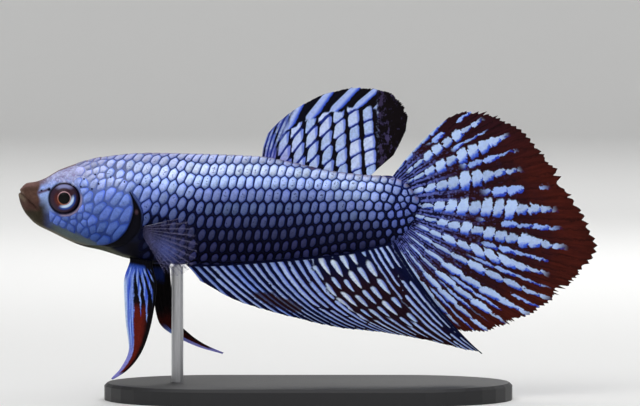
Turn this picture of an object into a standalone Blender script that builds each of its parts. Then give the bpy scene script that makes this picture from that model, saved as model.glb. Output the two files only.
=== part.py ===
"""A still, life-size display model of a male wild-type betta fish on a small stand.

Run it with: blender --background --python part.py

The fish faces -X and its back is up, +Z. The origin is on the floor under the middle of the whole
model. Every size below is in millimetres, and MM turns it into metres. The fish's pieces are made in
the fish's own frame, whose x runs back from the tip of the snout and whose z is the height over it,
and are parented to an empty that puts the snout in its place over the stand.
"""

import math

import bmesh
import bpy
import numpy as np
from mathutils import Matrix

MM = 0.001
GAP = 0.2  # between neighbouring pieces
FAR = 30.0  # longer than anything that a cutter has to pass through

# The whole model
TOTAL_LENGTH = 68.0  # tip of the snout to the tip of the tail fin
SNOUT_HEIGHT = 23.9  # over the floor

# The body. Each outline is a few (distance from the snout, value) knots on a smooth curve.
BODY_LENGTH = 46.2  # to the end of the scaled wedge in the root of the tail fin
NOSE = 1.1  # length of the round front end
WEDGE = 2.4  # length of the round rear end
BACK = ((0, 1.25), (0.8, 1.52), (2.0, 1.7), (5, 3.25), (9.5, 4.58), (15, 5.1), (21, 5.0),
        (28.5, 4.7), (33, 3.8), (37.7, 2.88), (43, 2.45), (47, 2.45))
BELLY = ((0, -1.5), (1.06, -2.4), (1.8, -3.15), (4.2, -4.5), (7.5, -5.95), (9.5, -6.4),
         (12.8, -7.4), (16, -8.05), (21, -8.1), (30, -7.6), (38.9, -6.7), (43, -5.75), (47, -5.0))
MIDLINE = ((0, 0.1), (5, -0.5), (15, -1.4), (47, -1.4))
HALF_WIDTH = ((0, 1.15), (1.5, 1.65), (3.5, 2.2), (6, 2.75), (9, 3.3), (12.2, 3.7), (14.2, 3.5),
              (20, 3.4), (27, 2.9), (34, 2.1), (41, 1.25), (47, 0.55))
BODY_RINGS, RING_POINTS = 50, 28

# Where the body is parted
HEAD_END = 14.2
TRUNK_END = 31.0
JAW_LINE = ((0.0, 0.45), (7.6, -6.1))  # the cut between head and lower jaw, as two points (x, z)
GILL_CENTRE, GILL_SIZE = (10.75, -2.2), (2.85, 3.9)  # the gill cover's oval outline
GILL_INNER = 2.6  # the cover's inner face, from the fish's middle

# Eyes
EYE_CENTRE = (5.45, 1.97, -0.22)
EYE_SIZE = (1.87, 1.12, 1.89)

# Fins: half thickness of a ray and of the web between two rays
RAY, WEB = 0.36, 0.25
SCALLOP = 0.02  # depth of the notches between the ray tips, as a share of the ray's length

# Stand
BASE_SIZE = (48.0, 26.0, 2.0)
BASE_CHAMFER = 0.35
ROD_X = 18.6  # from the snout
ROD_RADIUS = 0.7
SOCKET_DEPTH = 1.4

LEFT, RIGHT = -1, 1


def smooth(knots):
    """A function through the (x, value) knots that doesn't swing past them in between."""
    x, v = (np.array(column, float) for column in zip(*knots))
    h = np.diff(x)
    rise = np.diff(v) / h
    slope = np.zeros(len(x))
    for i in range(1, len(x) - 1):
        if rise[i - 1] * rise[i] > 0:
            a, b = 2 * h[i] + h[i - 1], h[i] + 2 * h[i - 1]
            slope[i] = (a + b) / (a / rise[i - 1] + b / rise[i])
    slope[0], slope[-1] = rise[0], rise[-1]

    def value(at):
        at = np.clip(at, x[0], x[-1])
        i = np.clip(np.searchsorted(x, at, side="right") - 1, 0, len(h) - 1)
        t = (at - x[i]) / h[i]
        hermite = (2 * t**3 - 3 * t**2 + 1) * v[i] + (3 * t**2 - 2 * t**3) * v[i + 1]
        return hermite + h[i] * ((t**3 - 2 * t**2 + t) * slope[i] + (t**3 - t**2) * slope[i + 1])

    return value


back, belly, midline, half_width = (smooth(knots) for knots in (BACK, BELLY, MIDLINE, HALF_WIDTH))


def rounding(x):
    """From 0 at the body's two ends to 1 between them, so that both ends are round."""
    nose = np.clip(1 - x / NOSE, 0, 1)
    wedge = np.clip(1 - (BODY_LENGTH - x) / WEDGE, 0, 1)
    return np.sqrt(np.maximum(1 - nose**2, 0)) * np.sqrt(np.maximum(1 - wedge**2, 0))


def body_point(x, angle):
    """The body's surface at distance x from the snout; the angle is 90 degrees at the back."""
    across, up = np.cos(angle), np.sin(angle)
    reach = np.where(up > 0, back(x) - midline(x), midline(x) - belly(x)) * rounding(x)
    width = half_width(x) * np.where(x < BODY_LENGTH / 2, rounding(x), 1)
    return x + 0 * angle, width * across, midline(x) + reach * up


def material(name, colour, roughness, metallic=0.0):
    made = bpy.data.materials.new(name)
    made.use_nodes = True
    shader = made.node_tree.nodes["Principled BSDF"]
    shader.inputs["Base Color"].default_value = (*colour, 1)
    shader.inputs["Roughness"].default_value = roughness
    shader.inputs["Metallic"].default_value = metallic
    return made


def new_object(name, points, faces, finish=None):
    """An object made of points in millimetres. With no finish it's a cutter."""
    mesh = bpy.data.meshes.new(name)
    mesh.from_pydata((np.asarray(points, float).reshape(-1, 3) * MM).tolist(), [], faces)
    shaped = bmesh.new()
    shaped.from_mesh(mesh)
    bmesh.ops.recalc_face_normals(shaped, faces=shaped.faces)
    shaped.to_mesh(mesh)
    shaped.free()
    made = bpy.data.objects.new(name, mesh)
    bpy.context.scene.collection.objects.link(made)
    if finish:
        mesh.materials.append(finish)
        mesh.shade_smooth()
        mesh.set_sharp_from_angle(angle=math.radians(35))
    else:
        made.hide_render = True
        made.display_type = "WIRE"
    return made


def boolean(piece, operation, cutter):
    modifier = piece.modifiers.new(f"{operation} {cutter.name}", "BOOLEAN")
    modifier.operation = operation
    modifier.object = cutter


# The body and its parts

def body(name, finish):
    """The whole body as one closed loft: rings, closer together at the round ends, and two poles."""
    u = np.linspace(0, math.pi, BODY_RINGS + 2)[1:-1]
    stations = BODY_LENGTH * (0.35 * (1 - np.cos(u)) / 2 + 0.65 * u / math.pi)
    stations[0], stations[-1] = 0.06, BODY_LENGTH - 0.06
    angles = np.arange(RING_POINTS) * 2 * math.pi / RING_POINTS
    points = [(0, 0, midline(0))]
    for x in stations:
        points += np.stack(body_point(x, angles), axis=1).tolist()
    points.append((BODY_LENGTH, 0, midline(BODY_LENGTH)))
    faces = []
    for k in range(RING_POINTS):
        after = (k + 1) % RING_POINTS
        faces.append((0, 1 + k, 1 + after))
        for ring in range(BODY_RINGS - 1):
            a, b = 1 + ring * RING_POINTS, 1 + (ring + 1) * RING_POINTS
            faces.append((a + k, b + k, b + after, a + after))
        last = 1 + (BODY_RINGS - 1) * RING_POINTS
        faces.append((last + k, len(points) - 1, last + after))
    return new_object(name, points, faces, finish)


def slab(name, x_from, x_to):
    """A cutter across the whole body between two distances from the snout."""
    corners = [(x, y, z) for x in (x_from, x_to) for y in (-FAR, FAR) for z in (-FAR, FAR)]
    faces = ((0, 1, 3, 2), (4, 5, 7, 6), (0, 1, 5, 4), (2, 3, 7, 6), (0, 2, 6, 4), (1, 3, 7, 5))
    return new_object(name, corners, faces)


def prism(name, outline, y_from, y_to):
    """A cutter with this outline of (x, z) points, from one y to another."""
    n = len(outline)
    points = [(x, y, z) for y in (y_from, y_to) for x, z in outline]
    sides = [(i, (i + 1) % n, n + (i + 1) % n, n + i) for i in range(n)]
    return new_object(name, points, [tuple(range(n)), tuple(range(n, 2 * n)), *sides])


def gill_cutter(name, side, more):
    """An oval prism from the gill cover's inner face outwards, larger by more."""
    turns = np.arange(28) * 2 * math.pi / 28
    outline = np.stack(((GILL_SIZE[0] + more) * np.cos(turns) + GILL_CENTRE[0],
                        (GILL_SIZE[1] + more) * np.sin(turns) + GILL_CENTRE[1]), axis=1)
    inner = side * (GILL_INNER - more)
    return prism(name, outline.tolist(), *sorted((inner, side * FAR)))


def jaw_cutter(name, more):
    """A prism with all that lies under the jaw line, larger by more."""
    (x0, z0), (x1, z1) = JAW_LINE
    length = math.hypot(x1 - x0, z1 - z0)
    dx, dz = (x1 - x0) / length, (z1 - z0) / length
    x0, z0, x1, z1 = x0 - dz * more, z0 + dx * more, x1 - dz * more, z1 + dx * more
    outline = [(x0 - 5 * dx, z0 - 5 * dz), (x1 + 5 * dx, z1 + 5 * dz),
               (x1 - FAR, z1 - FAR), (x0 - FAR, z0 - FAR)]
    return prism(name, outline, -FAR, FAR)


def ellipsoid(name, side, more, finish=None, segments=20, rings=12):
    """An eye, or with more the cutter for its socket."""
    ball = bmesh.new()
    bmesh.ops.create_uvsphere(ball, u_segments=segments, v_segments=rings, radius=1)
    turn = Matrix.Rotation(math.pi / 2, 4, "X")  # puts the poles on the pupil's axis
    bmesh.ops.transform(ball, matrix=turn, verts=ball.verts)
    size, centre = np.array(EYE_SIZE) + more, np.array(EYE_CENTRE) * (1, side, 1)
    points = [np.array(v.co) * size + centre for v in ball.verts]
    faces = [[v.index for v in face.verts] for face in ball.faces]
    ball.free()
    return new_object(name, points, faces, finish)


def body_parts(skin, eye_finish):
    eye_cutters, gill_cutters = [], []
    for side, word in ((LEFT, "left"), (RIGHT, "right")):
        ellipsoid(f"eye_{word}", side, 0, eye_finish)
        eye_cutters.append(ellipsoid(f"socket_{word}", side, GAP))
        gill_cutters.append(gill_cutter(f"gill_slot_{word}", side, GAP))
        boolean(body(f"gill_cover_{word}", skin), "INTERSECT", gill_cutter(f"gill_{word}", side, 0))

    head = body("head", skin)
    boolean(head, "INTERSECT", slab("head_span", -1, HEAD_END))
    boolean(head, "DIFFERENCE", jaw_cutter("jaw_slot", GAP))
    jaw = body("lower_jaw", skin)
    boolean(jaw, "INTERSECT", slab("jaw_span", -1, JAW_LINE[1][0] + 0.6))
    boolean(jaw, "INTERSECT", jaw_cutter("jaw_shape", 0))
    for cutter in (*eye_cutters, *gill_cutters):
        boolean(head, "DIFFERENCE", cutter)
    trunk = body("trunk", skin)
    boolean(trunk, "INTERSECT", slab("trunk_span", HEAD_END + GAP, TRUNK_END))
    tail = body("tail", skin)
    boolean(tail, "INTERSECT", slab("tail_span", TRUNK_END + GAP, BODY_LENGTH + 1))


# Fins. Each is a sheet over (s, t): s runs from the first ray to the last, t from root to tip.

def direction(degrees):
    return np.array((math.cos(math.radians(degrees)), math.sin(math.radians(degrees))))


def bent_ray(root, tip, degrees, t, stiffness=0.45):
    """A point on a ray that leaves its root at this angle and curves to its tip, as (x, z)."""
    root, tip = np.array(root), np.array(tip)
    handle = root + direction(degrees) * np.linalg.norm(tip - root) * stiffness
    return (1 - t) ** 2 * root + 2 * t * (1 - t) * handle + t**2 * tip


def fin(name, sheet, rays, rows, finish):
    """A closed solid round a sheet, thicker on each ray, with a notch between the ray tips."""
    columns = 2 * rays - 1
    s = np.linspace(0, 1, columns)
    points = np.empty((columns, rows + 1, 3))
    half = np.empty((columns, rows + 1))
    for i in range(columns):
        on_ray = i % 2 == 0
        end = 1 if on_ray else 1 - SCALLOP
        for j, t in enumerate(np.linspace(0, end, rows + 1)):
            points[i, j] = sheet(s[i], t)
            half[i, j] = WEB + (RAY - WEB) * (1 - t) if on_ray else WEB
    along_s, along_t = np.gradient(points, axis=0), np.gradient(points, axis=1)
    normal = np.cross(along_s, along_t)
    normal /= np.linalg.norm(normal, axis=2, keepdims=True)
    offset = normal * half[..., None]
    count = columns * (rows + 1)
    index = np.arange(count).reshape(columns, rows + 1)
    faces = []
    for i in range(columns - 1):
        for j in range(rows):
            quad = (index[i, j], index[i + 1, j], index[i + 1, j + 1], index[i, j + 1])
            faces += [quad, tuple(count + k for k in reversed(quad))]
    rim = [*index[:, 0], *index[-1, 1:], *index[-2::-1, -1], *index[0, -2:0:-1]]
    for a, b in zip(rim, rim[1:] + rim[:1]):
        faces.append((a, count + a, count + b, b))
    both = np.concatenate((points + offset, points - offset)).reshape(-1, 3)
    return new_object(name, both, [tuple(int(k) for k in face) for face in faces], finish)


TAIL_HUB = (43.0, -1.9)
TAIL_RADIUS = smooth(((-59.5, 16.4), (-42, 20.0), (-28, 22.3), (-18, 24.4), (-10, 25.386),
                      (-2, 23.9), (6, 22.3), (27, 19.3), (42, 17.3), (50, 15.8), (56, 13.5)))


def tail_fin(s, t):
    """A round fan whose rays leave the wedge of the body and bend back towards its middle line."""
    along, up = direction(82 - 164 * s)
    x = BODY_LENGTH - WEDGE + (WEDGE + 1.5 * GAP) * along
    reach = (back(x) - midline(x) if up > 0 else midline(x) - belly(x)) + 1.5 * GAP
    root = (x, midline(x) + reach * up)
    tip_angle = 56 - 115.5 * s
    tip = np.array(TAIL_HUB) + TAIL_RADIUS(tip_angle) * direction(tip_angle)
    x, z = bent_ray(root, tip, 54 - 121 * s, t)
    return x, 0.55 * t * t * math.sin(5.5 * s + 0.6), z


ANAL_FRONT, ANAL_REAR = 19.9, 43.2
ANAL_TIP_X = smooth(((0, 21.3), (0.06, 25.5), (0.2, 31.8), (0.39, 38.3), (0.53, 42.4),
                     (0.74, 47.7), (0.93, 52.6), (1, 54.4)))
ANAL_TIP_Z = smooth(((0, -10.0), (0.06, -12.3), (0.2, -14.2), (0.39, -15.6), (0.53, -16.0),
                     (0.74, -16.9), (0.93, -18.1), (1, -18.5)))
ANAL_SWEEP = smooth(((0, -45), (0.2, -50), (0.5, -62), (0.8, -64), (1, -59)))


def anal_fin(s, t):
    """A long low fin under the rear body, swept back to a point."""
    x = ANAL_FRONT + (ANAL_REAR - ANAL_FRONT) * s
    root = (x, belly(x) - GAP)
    x, z = bent_ray(root, (ANAL_TIP_X(s), ANAL_TIP_Z(s)), ANAL_SWEEP(s), t, 0.45 + 0.13 * s)
    return x, 0.25 * t * math.sin(7 * s) - 1.05 * s * s * t * (2 - t), z


DORSAL_FRONT, DORSAL_REAR = 28.6, 41.6
DORSAL_TIP_X = smooth(((0, 29.3), (0.05, 30.7), (0.12, 33.0), (0.22, 36.5), (0.33, 40.0), (0.45, 42.8),
                       (0.58, 45.0), (0.7, 45.75), (0.82, 45.4), (0.92, 44.7), (1, 44.0)))
DORSAL_TIP_Z = smooth(((0, 7.4), (0.05, 8.9), (0.12, 10.6), (0.22, 12.2), (0.33, 12.9), (0.45, 12.5),
                       (0.58, 11.2), (0.7, 9.4), (0.82, 7.4), (0.92, 6.0), (1, 4.8)))
DORSAL_SWEEP = smooth(((0, 85), (0.15, 68), (0.35, 60), (0.6, 52), (0.85, 46), (1, 42)))


def dorsal_fin(s, t):
    """A tall rounded fin over the rear half of the back."""
    x = DORSAL_FRONT + (DORSAL_REAR - DORSAL_FRONT) * s
    root = (x, back(x) + GAP)
    x, z = bent_ray(root, (DORSAL_TIP_X(s), DORSAL_TIP_Z(s)), DORSAL_SWEEP(s), t)
    return x, 0.35 * t * math.sin(6 * s + 2), z


def edge_curve(points):
    """A smooth curve (x, z) through a fin's edge points, evenly spaced over t from 0 to 1."""
    at = np.linspace(0, 1, len(points))
    x, z = (smooth(tuple(zip(at, column))) for column in zip(*points))
    return lambda t: np.array((x(t), z(t)))


# The left pelvic fin hangs and hooks forwards, the right one trails back. Front and rear edges.
PELVIC = {
    LEFT: (edge_curve(((13.1, -7.7), (12.4, -10.2), (12.6, -14.3), (13.0, -17.7), (12.1, -20.0),
                       (10.9, -21.3))),
           edge_curve(((15.7, -8.15), (16.2, -10.6), (15.7, -14.3), (14.6, -17.9), (12.9, -20.2),
                       (11.1, -21.4)))),
    RIGHT: (edge_curve(((15.4, -8.1), (15.7, -11.5), (16.4, -15.0), (18.6, -16.8), (21.2, -18.0),
                        (23.9, -18.8))),
            edge_curve(((17.6, -8.25), (17.9, -11.6), (18.5, -14.7), (19.9, -16.3), (21.7, -17.6),
                        (24.0, -18.65)))),
}


def pelvic_fin(side):
    front, rear = PELVIC[side]

    def sheet(s, t):
        x, z = (1 - s) * front(t) + s * rear(t)
        return x, side * (1.0 + 2.3 * t + 0.5 * s * (1 - t)), z

    return sheet


PECTORAL_ROOT = (15.3, -4.4)  # x, z of the middle of the root
PECTORAL_ROOT_HEIGHT = 2.2
PECTORAL_LENGTH = 7.3
PECTORAL_FLARE = 34  # degrees out from the flank
PECTORAL_OUT = 3.85  # y of the root


def pectoral_fin(side):
    """A round fan behind the gill cover, held out from the flank."""

    def sheet(s, t):
        angle = 12 - 66 * s
        length = PECTORAL_LENGTH * (1 - 0.35 * (2 * s - 0.9) ** 2) * t
        back_along, up = length * direction(angle)
        out = back_along * math.sin(math.radians(PECTORAL_FLARE)) + 0.25 * t * math.sin(4 * s)
        return (PECTORAL_ROOT[0] + back_along * math.cos(math.radians(PECTORAL_FLARE)),
                side * (PECTORAL_OUT + out),
                PECTORAL_ROOT[1] + PECTORAL_ROOT_HEIGHT * (0.5 - s) + up)

    return sheet


def fins(finish, clear):
    fin("tail_fin", tail_fin, 15, 9, finish)
    fin("anal_fin", anal_fin, 26, 7, finish)
    fin("dorsal_fin", dorsal_fin, 14, 8, finish)
    for side, word in ((LEFT, "left"), (RIGHT, "right")):
        fin(f"pelvic_fin_{word}", pelvic_fin(side), 4, 12, finish)
        fin(f"pectoral_fin_{word}", pectoral_fin(side), 8, 6, clear)


# The stand, in the model's frame

def stand(base_finish, rod_finish):
    """A flat plate with a straight rod in a socket, up to the belly just ahead of the anal fin."""
    top = BASE_SIZE[2]
    base = plate("stand_base", base_finish)
    boolean(base, "DIFFERENCE", rod("rod_socket", top - SOCKET_DEPTH, top + 1, ROD_RADIUS + 0.1))
    rod("stand_rod", top - SOCKET_DEPTH + GAP, SNOUT_HEIGHT + belly(ROD_X) - GAP, ROD_RADIUS, rod_finish)


def plate(name, finish, steps=16):
    """A plate with round ends and a chamfer round its top."""
    length, depth, height = BASE_SIZE
    radius, straight = depth / 2, (length - depth) / 2
    turns = np.linspace(-math.pi / 2, math.pi / 2, steps + 1)
    layers = ((0, radius), (height - BASE_CHAMFER, radius), (height, radius - BASE_CHAMFER))
    points = []
    for z, r in layers:
        points += [(straight + r * math.cos(a), r * math.sin(a), z) for a in turns]
        points += [(-straight - r * math.cos(a), -r * math.sin(a), z) for a in turns]
    n = 2 * len(turns)
    faces = [tuple(range(n)), tuple(range(2 * n, 3 * n))]
    for low in (0, n):
        faces += [(low + i, low + (i + 1) % n, low + n + (i + 1) % n, low + n + i) for i in range(n)]
    return new_object(name, points, faces, finish)


def rod(name, z_from, z_to, radius, finish=None, sides=24):
    centre = ROD_X - TOTAL_LENGTH / 2
    turns = np.arange(sides) * 2 * math.pi / sides
    points = [(centre + radius * math.cos(a), radius * math.sin(a), z) for z in (z_from, z_to) for a in turns]
    walls = [(i, (i + 1) % sides, sides + (i + 1) % sides, sides + i) for i in range(sides)]
    ends = [tuple(range(sides)), tuple(range(sides, 2 * sides))]
    return new_object(name, points, ends + walls, finish)


def main():
    for old in list(bpy.data.objects):
        bpy.data.objects.remove(old)
    skin = material("blue_scaled_skin", (0.16, 0.24, 0.62), 0.35, 0.3)
    webs = material("banded_fin", (0.14, 0.2, 0.5), 0.4, 0.2)
    clear = material("clear_fin", (0.3, 0.3, 0.42), 0.3)
    eye = material("dark_eye", (0.07, 0.02, 0.02), 0.08)
    black = material("black_base", (0.02, 0.02, 0.022), 0.45)
    steel = material("steel_rod", (0.6, 0.6, 0.62), 0.28, 1.0)
    body_parts(skin, eye)
    fins(webs, clear)
    fish = bpy.data.objects.new("fish", None)
    fish.location = (-TOTAL_LENGTH / 2 * MM, 0, SNOUT_HEIGHT * MM)
    for piece in list(bpy.data.objects):
        if piece is not fish:
            piece.parent = fish
    bpy.context.scene.collection.objects.link(fish)
    stand(black, steel)


main()
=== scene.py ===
"""The looks of a still, life-size male betta fish on a display stand, built round its CAD frame.

Lengths are in millimetres in the fish's own frame: x runs back from the tip of the snout, z is the
height over it, and the left flank faces -y. world() turns them into metres in the frame of the CAD.
"""

import math
from collections import namedtuple

import bpy
import numpy as np
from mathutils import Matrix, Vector

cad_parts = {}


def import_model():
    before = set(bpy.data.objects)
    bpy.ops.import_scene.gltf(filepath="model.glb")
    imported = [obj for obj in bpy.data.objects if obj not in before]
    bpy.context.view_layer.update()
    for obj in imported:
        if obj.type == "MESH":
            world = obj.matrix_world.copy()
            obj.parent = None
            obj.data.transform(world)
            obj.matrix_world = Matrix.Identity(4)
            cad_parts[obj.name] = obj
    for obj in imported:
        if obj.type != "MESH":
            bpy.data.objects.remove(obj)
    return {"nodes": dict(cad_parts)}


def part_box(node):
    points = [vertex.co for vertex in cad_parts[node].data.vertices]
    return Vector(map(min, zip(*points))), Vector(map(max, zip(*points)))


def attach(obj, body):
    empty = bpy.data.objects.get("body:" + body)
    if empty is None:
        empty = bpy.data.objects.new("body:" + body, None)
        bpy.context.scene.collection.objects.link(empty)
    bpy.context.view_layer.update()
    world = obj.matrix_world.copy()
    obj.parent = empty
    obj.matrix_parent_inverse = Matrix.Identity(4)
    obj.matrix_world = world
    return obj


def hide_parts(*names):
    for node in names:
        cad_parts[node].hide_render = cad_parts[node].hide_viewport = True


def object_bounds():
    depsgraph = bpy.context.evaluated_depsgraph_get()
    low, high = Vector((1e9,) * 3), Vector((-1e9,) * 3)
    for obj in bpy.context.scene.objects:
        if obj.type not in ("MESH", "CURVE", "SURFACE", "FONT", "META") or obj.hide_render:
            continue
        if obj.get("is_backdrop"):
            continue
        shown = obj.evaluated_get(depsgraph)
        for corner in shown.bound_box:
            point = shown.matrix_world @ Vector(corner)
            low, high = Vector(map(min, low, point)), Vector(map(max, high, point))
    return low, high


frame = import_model()
cad_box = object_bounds()

MM = 0.001
LEFT, RIGHT = -1, 1
SIDES = ((LEFT, "left"), (RIGHT, "right"))

# ---------------------------------------------------------------------------------------------
# The shape of the body, as in the CAD source
# ---------------------------------------------------------------------------------------------

EYE_CENTRE = np.array((5.45, 1.97, -0.22))
BODY_LENGTH = 46.9  # the scaled skin runs on past the CAD's end, over the root of the tail fin
CAD_LENGTH, CAD_WEDGE = 46.2, 2.4
NOSE, WEDGE = 1.1, 3.9  # lengths of the round ends
BACK = ((0, 1.25), (0.8, 1.52), (2.0, 1.7), (5, 3.25), (9.5, 4.58), (15, 5.1), (21, 5.0),
        (28.5, 4.7), (33, 3.8), (37.7, 2.88), (43, 2.45), (47, 2.45))
BELLY = ((0, -1.5), (1.06, -2.4), (1.8, -3.15), (4.2, -4.5), (7.5, -5.95), (9.5, -6.4),
         (12.8, -7.4), (16, -8.05), (21, -8.1), (30, -7.6), (38.9, -6.7), (43, -5.75), (47, -5.0))
MIDLINE = ((0, 0.1), (5, -0.5), (15, -1.4), (47, -1.4))
HALF_WIDTH = ((0, 1.15), (1.5, 1.65), (3.5, 2.2), (6, 2.75), (9, 3.3), (12.2, 3.7), (14.2, 3.5),
              (20, 3.4), (27, 2.9), (34, 2.1), (41, 1.25), (44.5, 0.82), (47.5, 0.42))


def smooth(knots):
    """A function through the (x, value) knots that doesn't swing past them in between."""
    x, v = (np.array(column, float) for column in zip(*knots))
    h = np.diff(x)
    rise = np.diff(v) / h
    slope = np.zeros(len(x))
    for i in range(1, len(x) - 1):
        if rise[i - 1] * rise[i] > 0:
            a, b = 2 * h[i] + h[i - 1], h[i] + 2 * h[i - 1]
            slope[i] = (a + b) / (a / rise[i - 1] + b / rise[i])
    slope[0], slope[-1] = rise[0], rise[-1]

    def value(at):
        at = np.clip(at, x[0], x[-1])
        i = np.clip(np.searchsorted(x, at, side="right") - 1, 0, len(h) - 1)
        t = (at - x[i]) / h[i]
        hermite = (2 * t**3 - 3 * t**2 + 1) * v[i] + (3 * t**2 - 2 * t**3) * v[i + 1]
        return hermite + h[i] * ((t**3 - 2 * t**2 + t) * slope[i] + (t**3 - t**2) * slope[i + 1])

    return value


back, belly, midline, half_width = (smooth(knots) for knots in (BACK, BELLY, MIDLINE, HALF_WIDTH))


def rounding(x):
    """From 0 at the body's two ends to 1 between them, so that both ends are round."""
    nose = np.clip(1 - x / NOSE, 0, 1)
    wedge = np.clip(1 - (BODY_LENGTH - x) / WEDGE, 0, 1)
    return np.sqrt(np.maximum(1 - nose**2, 0)) * np.sqrt(np.maximum(1 - wedge**2, 0))


def from_midline(x, up):
    """The height from mid side to the back where up is over 0, and the depth to the belly elsewhere."""
    return np.where(up > 0, back(x) - midline(x), midline(x) - belly(x))


def body_point(x, angle):
    """The body's surface on the +y side, (..., 3). The angle is 90 degrees at the back."""
    x, angle = np.broadcast_arrays(np.asarray(x, float), np.asarray(angle, float))
    across, up = np.cos(angle), np.sin(angle)
    width = half_width(x) * np.where(x < BODY_LENGTH / 2, rounding(x), 1)
    height = midline(x) + from_midline(x, up) * rounding(x) * up
    return np.stack((x, width * across, height), axis=-1)


def body_normal(x, angle):
    """The outward normal at body_point(x, angle)."""
    d = 0.02
    x = np.clip(x, 2 * d, BODY_LENGTH - 2 * d)
    along = body_point(x + d, angle) - body_point(x - d, angle)
    around = body_point(x, angle + d) - body_point(x, angle - d)
    return unit(np.cross(around, along))


def unit(vectors):
    return vectors / np.maximum(np.linalg.norm(vectors, axis=-1, keepdims=True), 1e-9)


# Round the body, places are also given by q, the arc from the middle of the side, up being positive.
ARC_X = np.linspace(0.3, BODY_LENGTH - 0.2, 240)
ARC_PARTS = 64
PARTS = np.linspace(0, 1, ARC_PARTS + 1)


def arc_table(top):
    """For each ARC_X, the arc from mid side to the back or belly, and the angle at each part of it."""
    angles = np.linspace(0, top, ARC_PARTS + 1)
    points = body_point(ARC_X[:, None], angles[None, :])
    steps = np.linalg.norm(np.diff(points, axis=1), axis=2)
    arcs = np.concatenate((np.zeros((len(ARC_X), 1)), np.cumsum(steps, axis=1)), axis=1)
    return arcs[:, -1], np.array([np.interp(PARTS * row[-1], row, angles) for row in arcs])


ARC_UP, ANGLES_UP = arc_table(math.pi / 2)
ARC_DOWN, ANGLES_DOWN = arc_table(-math.pi / 2)


def top_arc(x):
    return np.interp(x, ARC_X, ARC_UP)


def bottom_arc(x):
    return np.interp(x, ARC_X, ARC_DOWN)


def angle_at(x, q):
    """The angle of the place at x and arc q. Past the back or belly it runs on to the other side."""
    x, q = np.broadcast_arrays(np.asarray(x, float), np.asarray(q, float))
    part = np.abs(q) / np.where(q > 0, top_arc(x), bottom_arc(x))
    over = part > 1
    part = np.where(over, 2 - part, part)
    row = np.interp(x, ARC_X, np.arange(len(ARC_X)))
    i = np.minimum(row.astype(int), len(ARC_X) - 2)
    j = np.minimum((part * ARC_PARTS).astype(int), ARC_PARTS - 1)
    fi, fj = row - i, part * ARC_PARTS - j

    def look_up(table):
        low = table[i, j] * (1 - fj) + table[i, j + 1] * fj
        high = table[i + 1, j] * (1 - fj) + table[i + 1, j + 1] * fj
        return low * (1 - fi) + high * fi

    angle = np.where(q > 0, look_up(ANGLES_UP), look_up(ANGLES_DOWN))
    return np.where(over, np.where(q > 0, math.pi, -math.pi) - angle, angle)


def arc_at(x, z):
    """The arc q of each place at x whose height is z."""
    up = z - midline(x)
    angle = np.arcsin(np.clip(up / (from_midline(x, up) * rounding(x)), -1, 1))
    row = np.interp(x, ARC_X, np.arange(len(ARC_X))).round().astype(int)
    part = np.array([np.interp(abs(a), np.abs((ANGLES_UP if a > 0 else ANGLES_DOWN)[r]), PARTS)
                     for a, r in zip(angle, row)])
    return np.where(up > 0, part * ARC_UP[row], -part * ARC_DOWN[row])


def height_at(x, q):
    return body_point(x, angle_at(x, q))[..., 2]


def over_body(x, q, height, side):
    """Points over the body at x and arc q, at these heights over the CAD's surface."""
    angle = angle_at(x, q)
    return (body_point(x, angle) + body_normal(x, angle) * np.asarray(height)[..., None]) * (1, side, 1)


# ---------------------------------------------------------------------------------------------
# Helpers for numbers, colours and meshes
# ---------------------------------------------------------------------------------------------

def step(value, low, high):
    """From 0 at low to 1 at high, eased at both. low may be over high."""
    t = np.clip((np.asarray(value, float) - low) / (high - low), 0, 1)
    return t * t * (3 - 2 * t)


def bump(value, centre, width):
    """A bell of height 1 round centre."""
    return np.exp(-(((value - centre) / width) ** 2))


def rgb(red, green, blue):
    """A colour given as on a screen, 0 to 255, in the linear values that shaders take."""
    c = np.array((red, green, blue)) / 255
    return np.where(c <= 0.04045, c / 12.92, ((c + 0.055) / 1.055) ** 2.4)


def painted_over(colours, *layers):
    """Colours (..., 3) with each (share, colours) layer laid over the ones before it."""
    for share, above in layers:
        share = np.asarray(share, float)[..., None]
        colours = np.asarray(colours) * (1 - share) + np.asarray(above) * share
    return colours


def smooth_line(points):
    """A function of 0 to 1 that runs through the given (x, z) points."""
    at = np.linspace(0, 1, len(points))
    x, z = (smooth(tuple(zip(at, column))) for column in zip(*points))
    return lambda t: np.stack((x(t), z(t)), axis=-1)


def curve(points, count=40):
    return smooth_line(points)(np.linspace(0, 1, count))


def circle(count):
    """The (cos, sin) of count even turns, (count, 2)."""
    turn = np.arange(count) * 2 * math.pi / count
    return np.stack((np.cos(turn), np.sin(turn)), axis=1)


def ring_points(radius, height, turns):
    """Rings of points round the z axis, each with its own radius and height."""
    out = np.asarray(radius)[:, None, None] * circle(turns)
    up = np.repeat(height, turns).reshape(len(radius), turns, 1)
    return np.concatenate((out, up), axis=2).reshape(-1, 3)


def from_line(x, z, line):
    """Distance of each (x, z) from a line of points, positive to the left of its run, and how far along."""
    nearest = np.full(np.shape(x), np.inf)
    signed, along = np.zeros(np.shape(x)), np.zeros(np.shape(x))
    for k, (a, b) in enumerate(zip(line, line[1:])):
        d = b - a
        t = np.clip(((x - a[0]) * d[0] + (z - a[1]) * d[1]) / (d @ d), 0, 1)
        ox, oz = x - a[0] - t * d[0], z - a[1] - t * d[1]
        far = np.hypot(ox, oz)
        closer = far < nearest
        nearest = np.where(closer, far, nearest)
        signed = np.where(closer, np.where(d[0] * oz - d[1] * ox > 0, far, -far), signed)
        along = np.where(closer, (k + t) / (len(line) - 1), along)
    return signed, along


ORIGIN = sum(np.array(corner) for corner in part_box("eye_left")) / 2 / MM - EYE_CENTRE * (1, LEFT, 1)


def world(points):
    return (np.asarray(points, float).reshape(-1, 3) + ORIGIN) * MM


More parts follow.
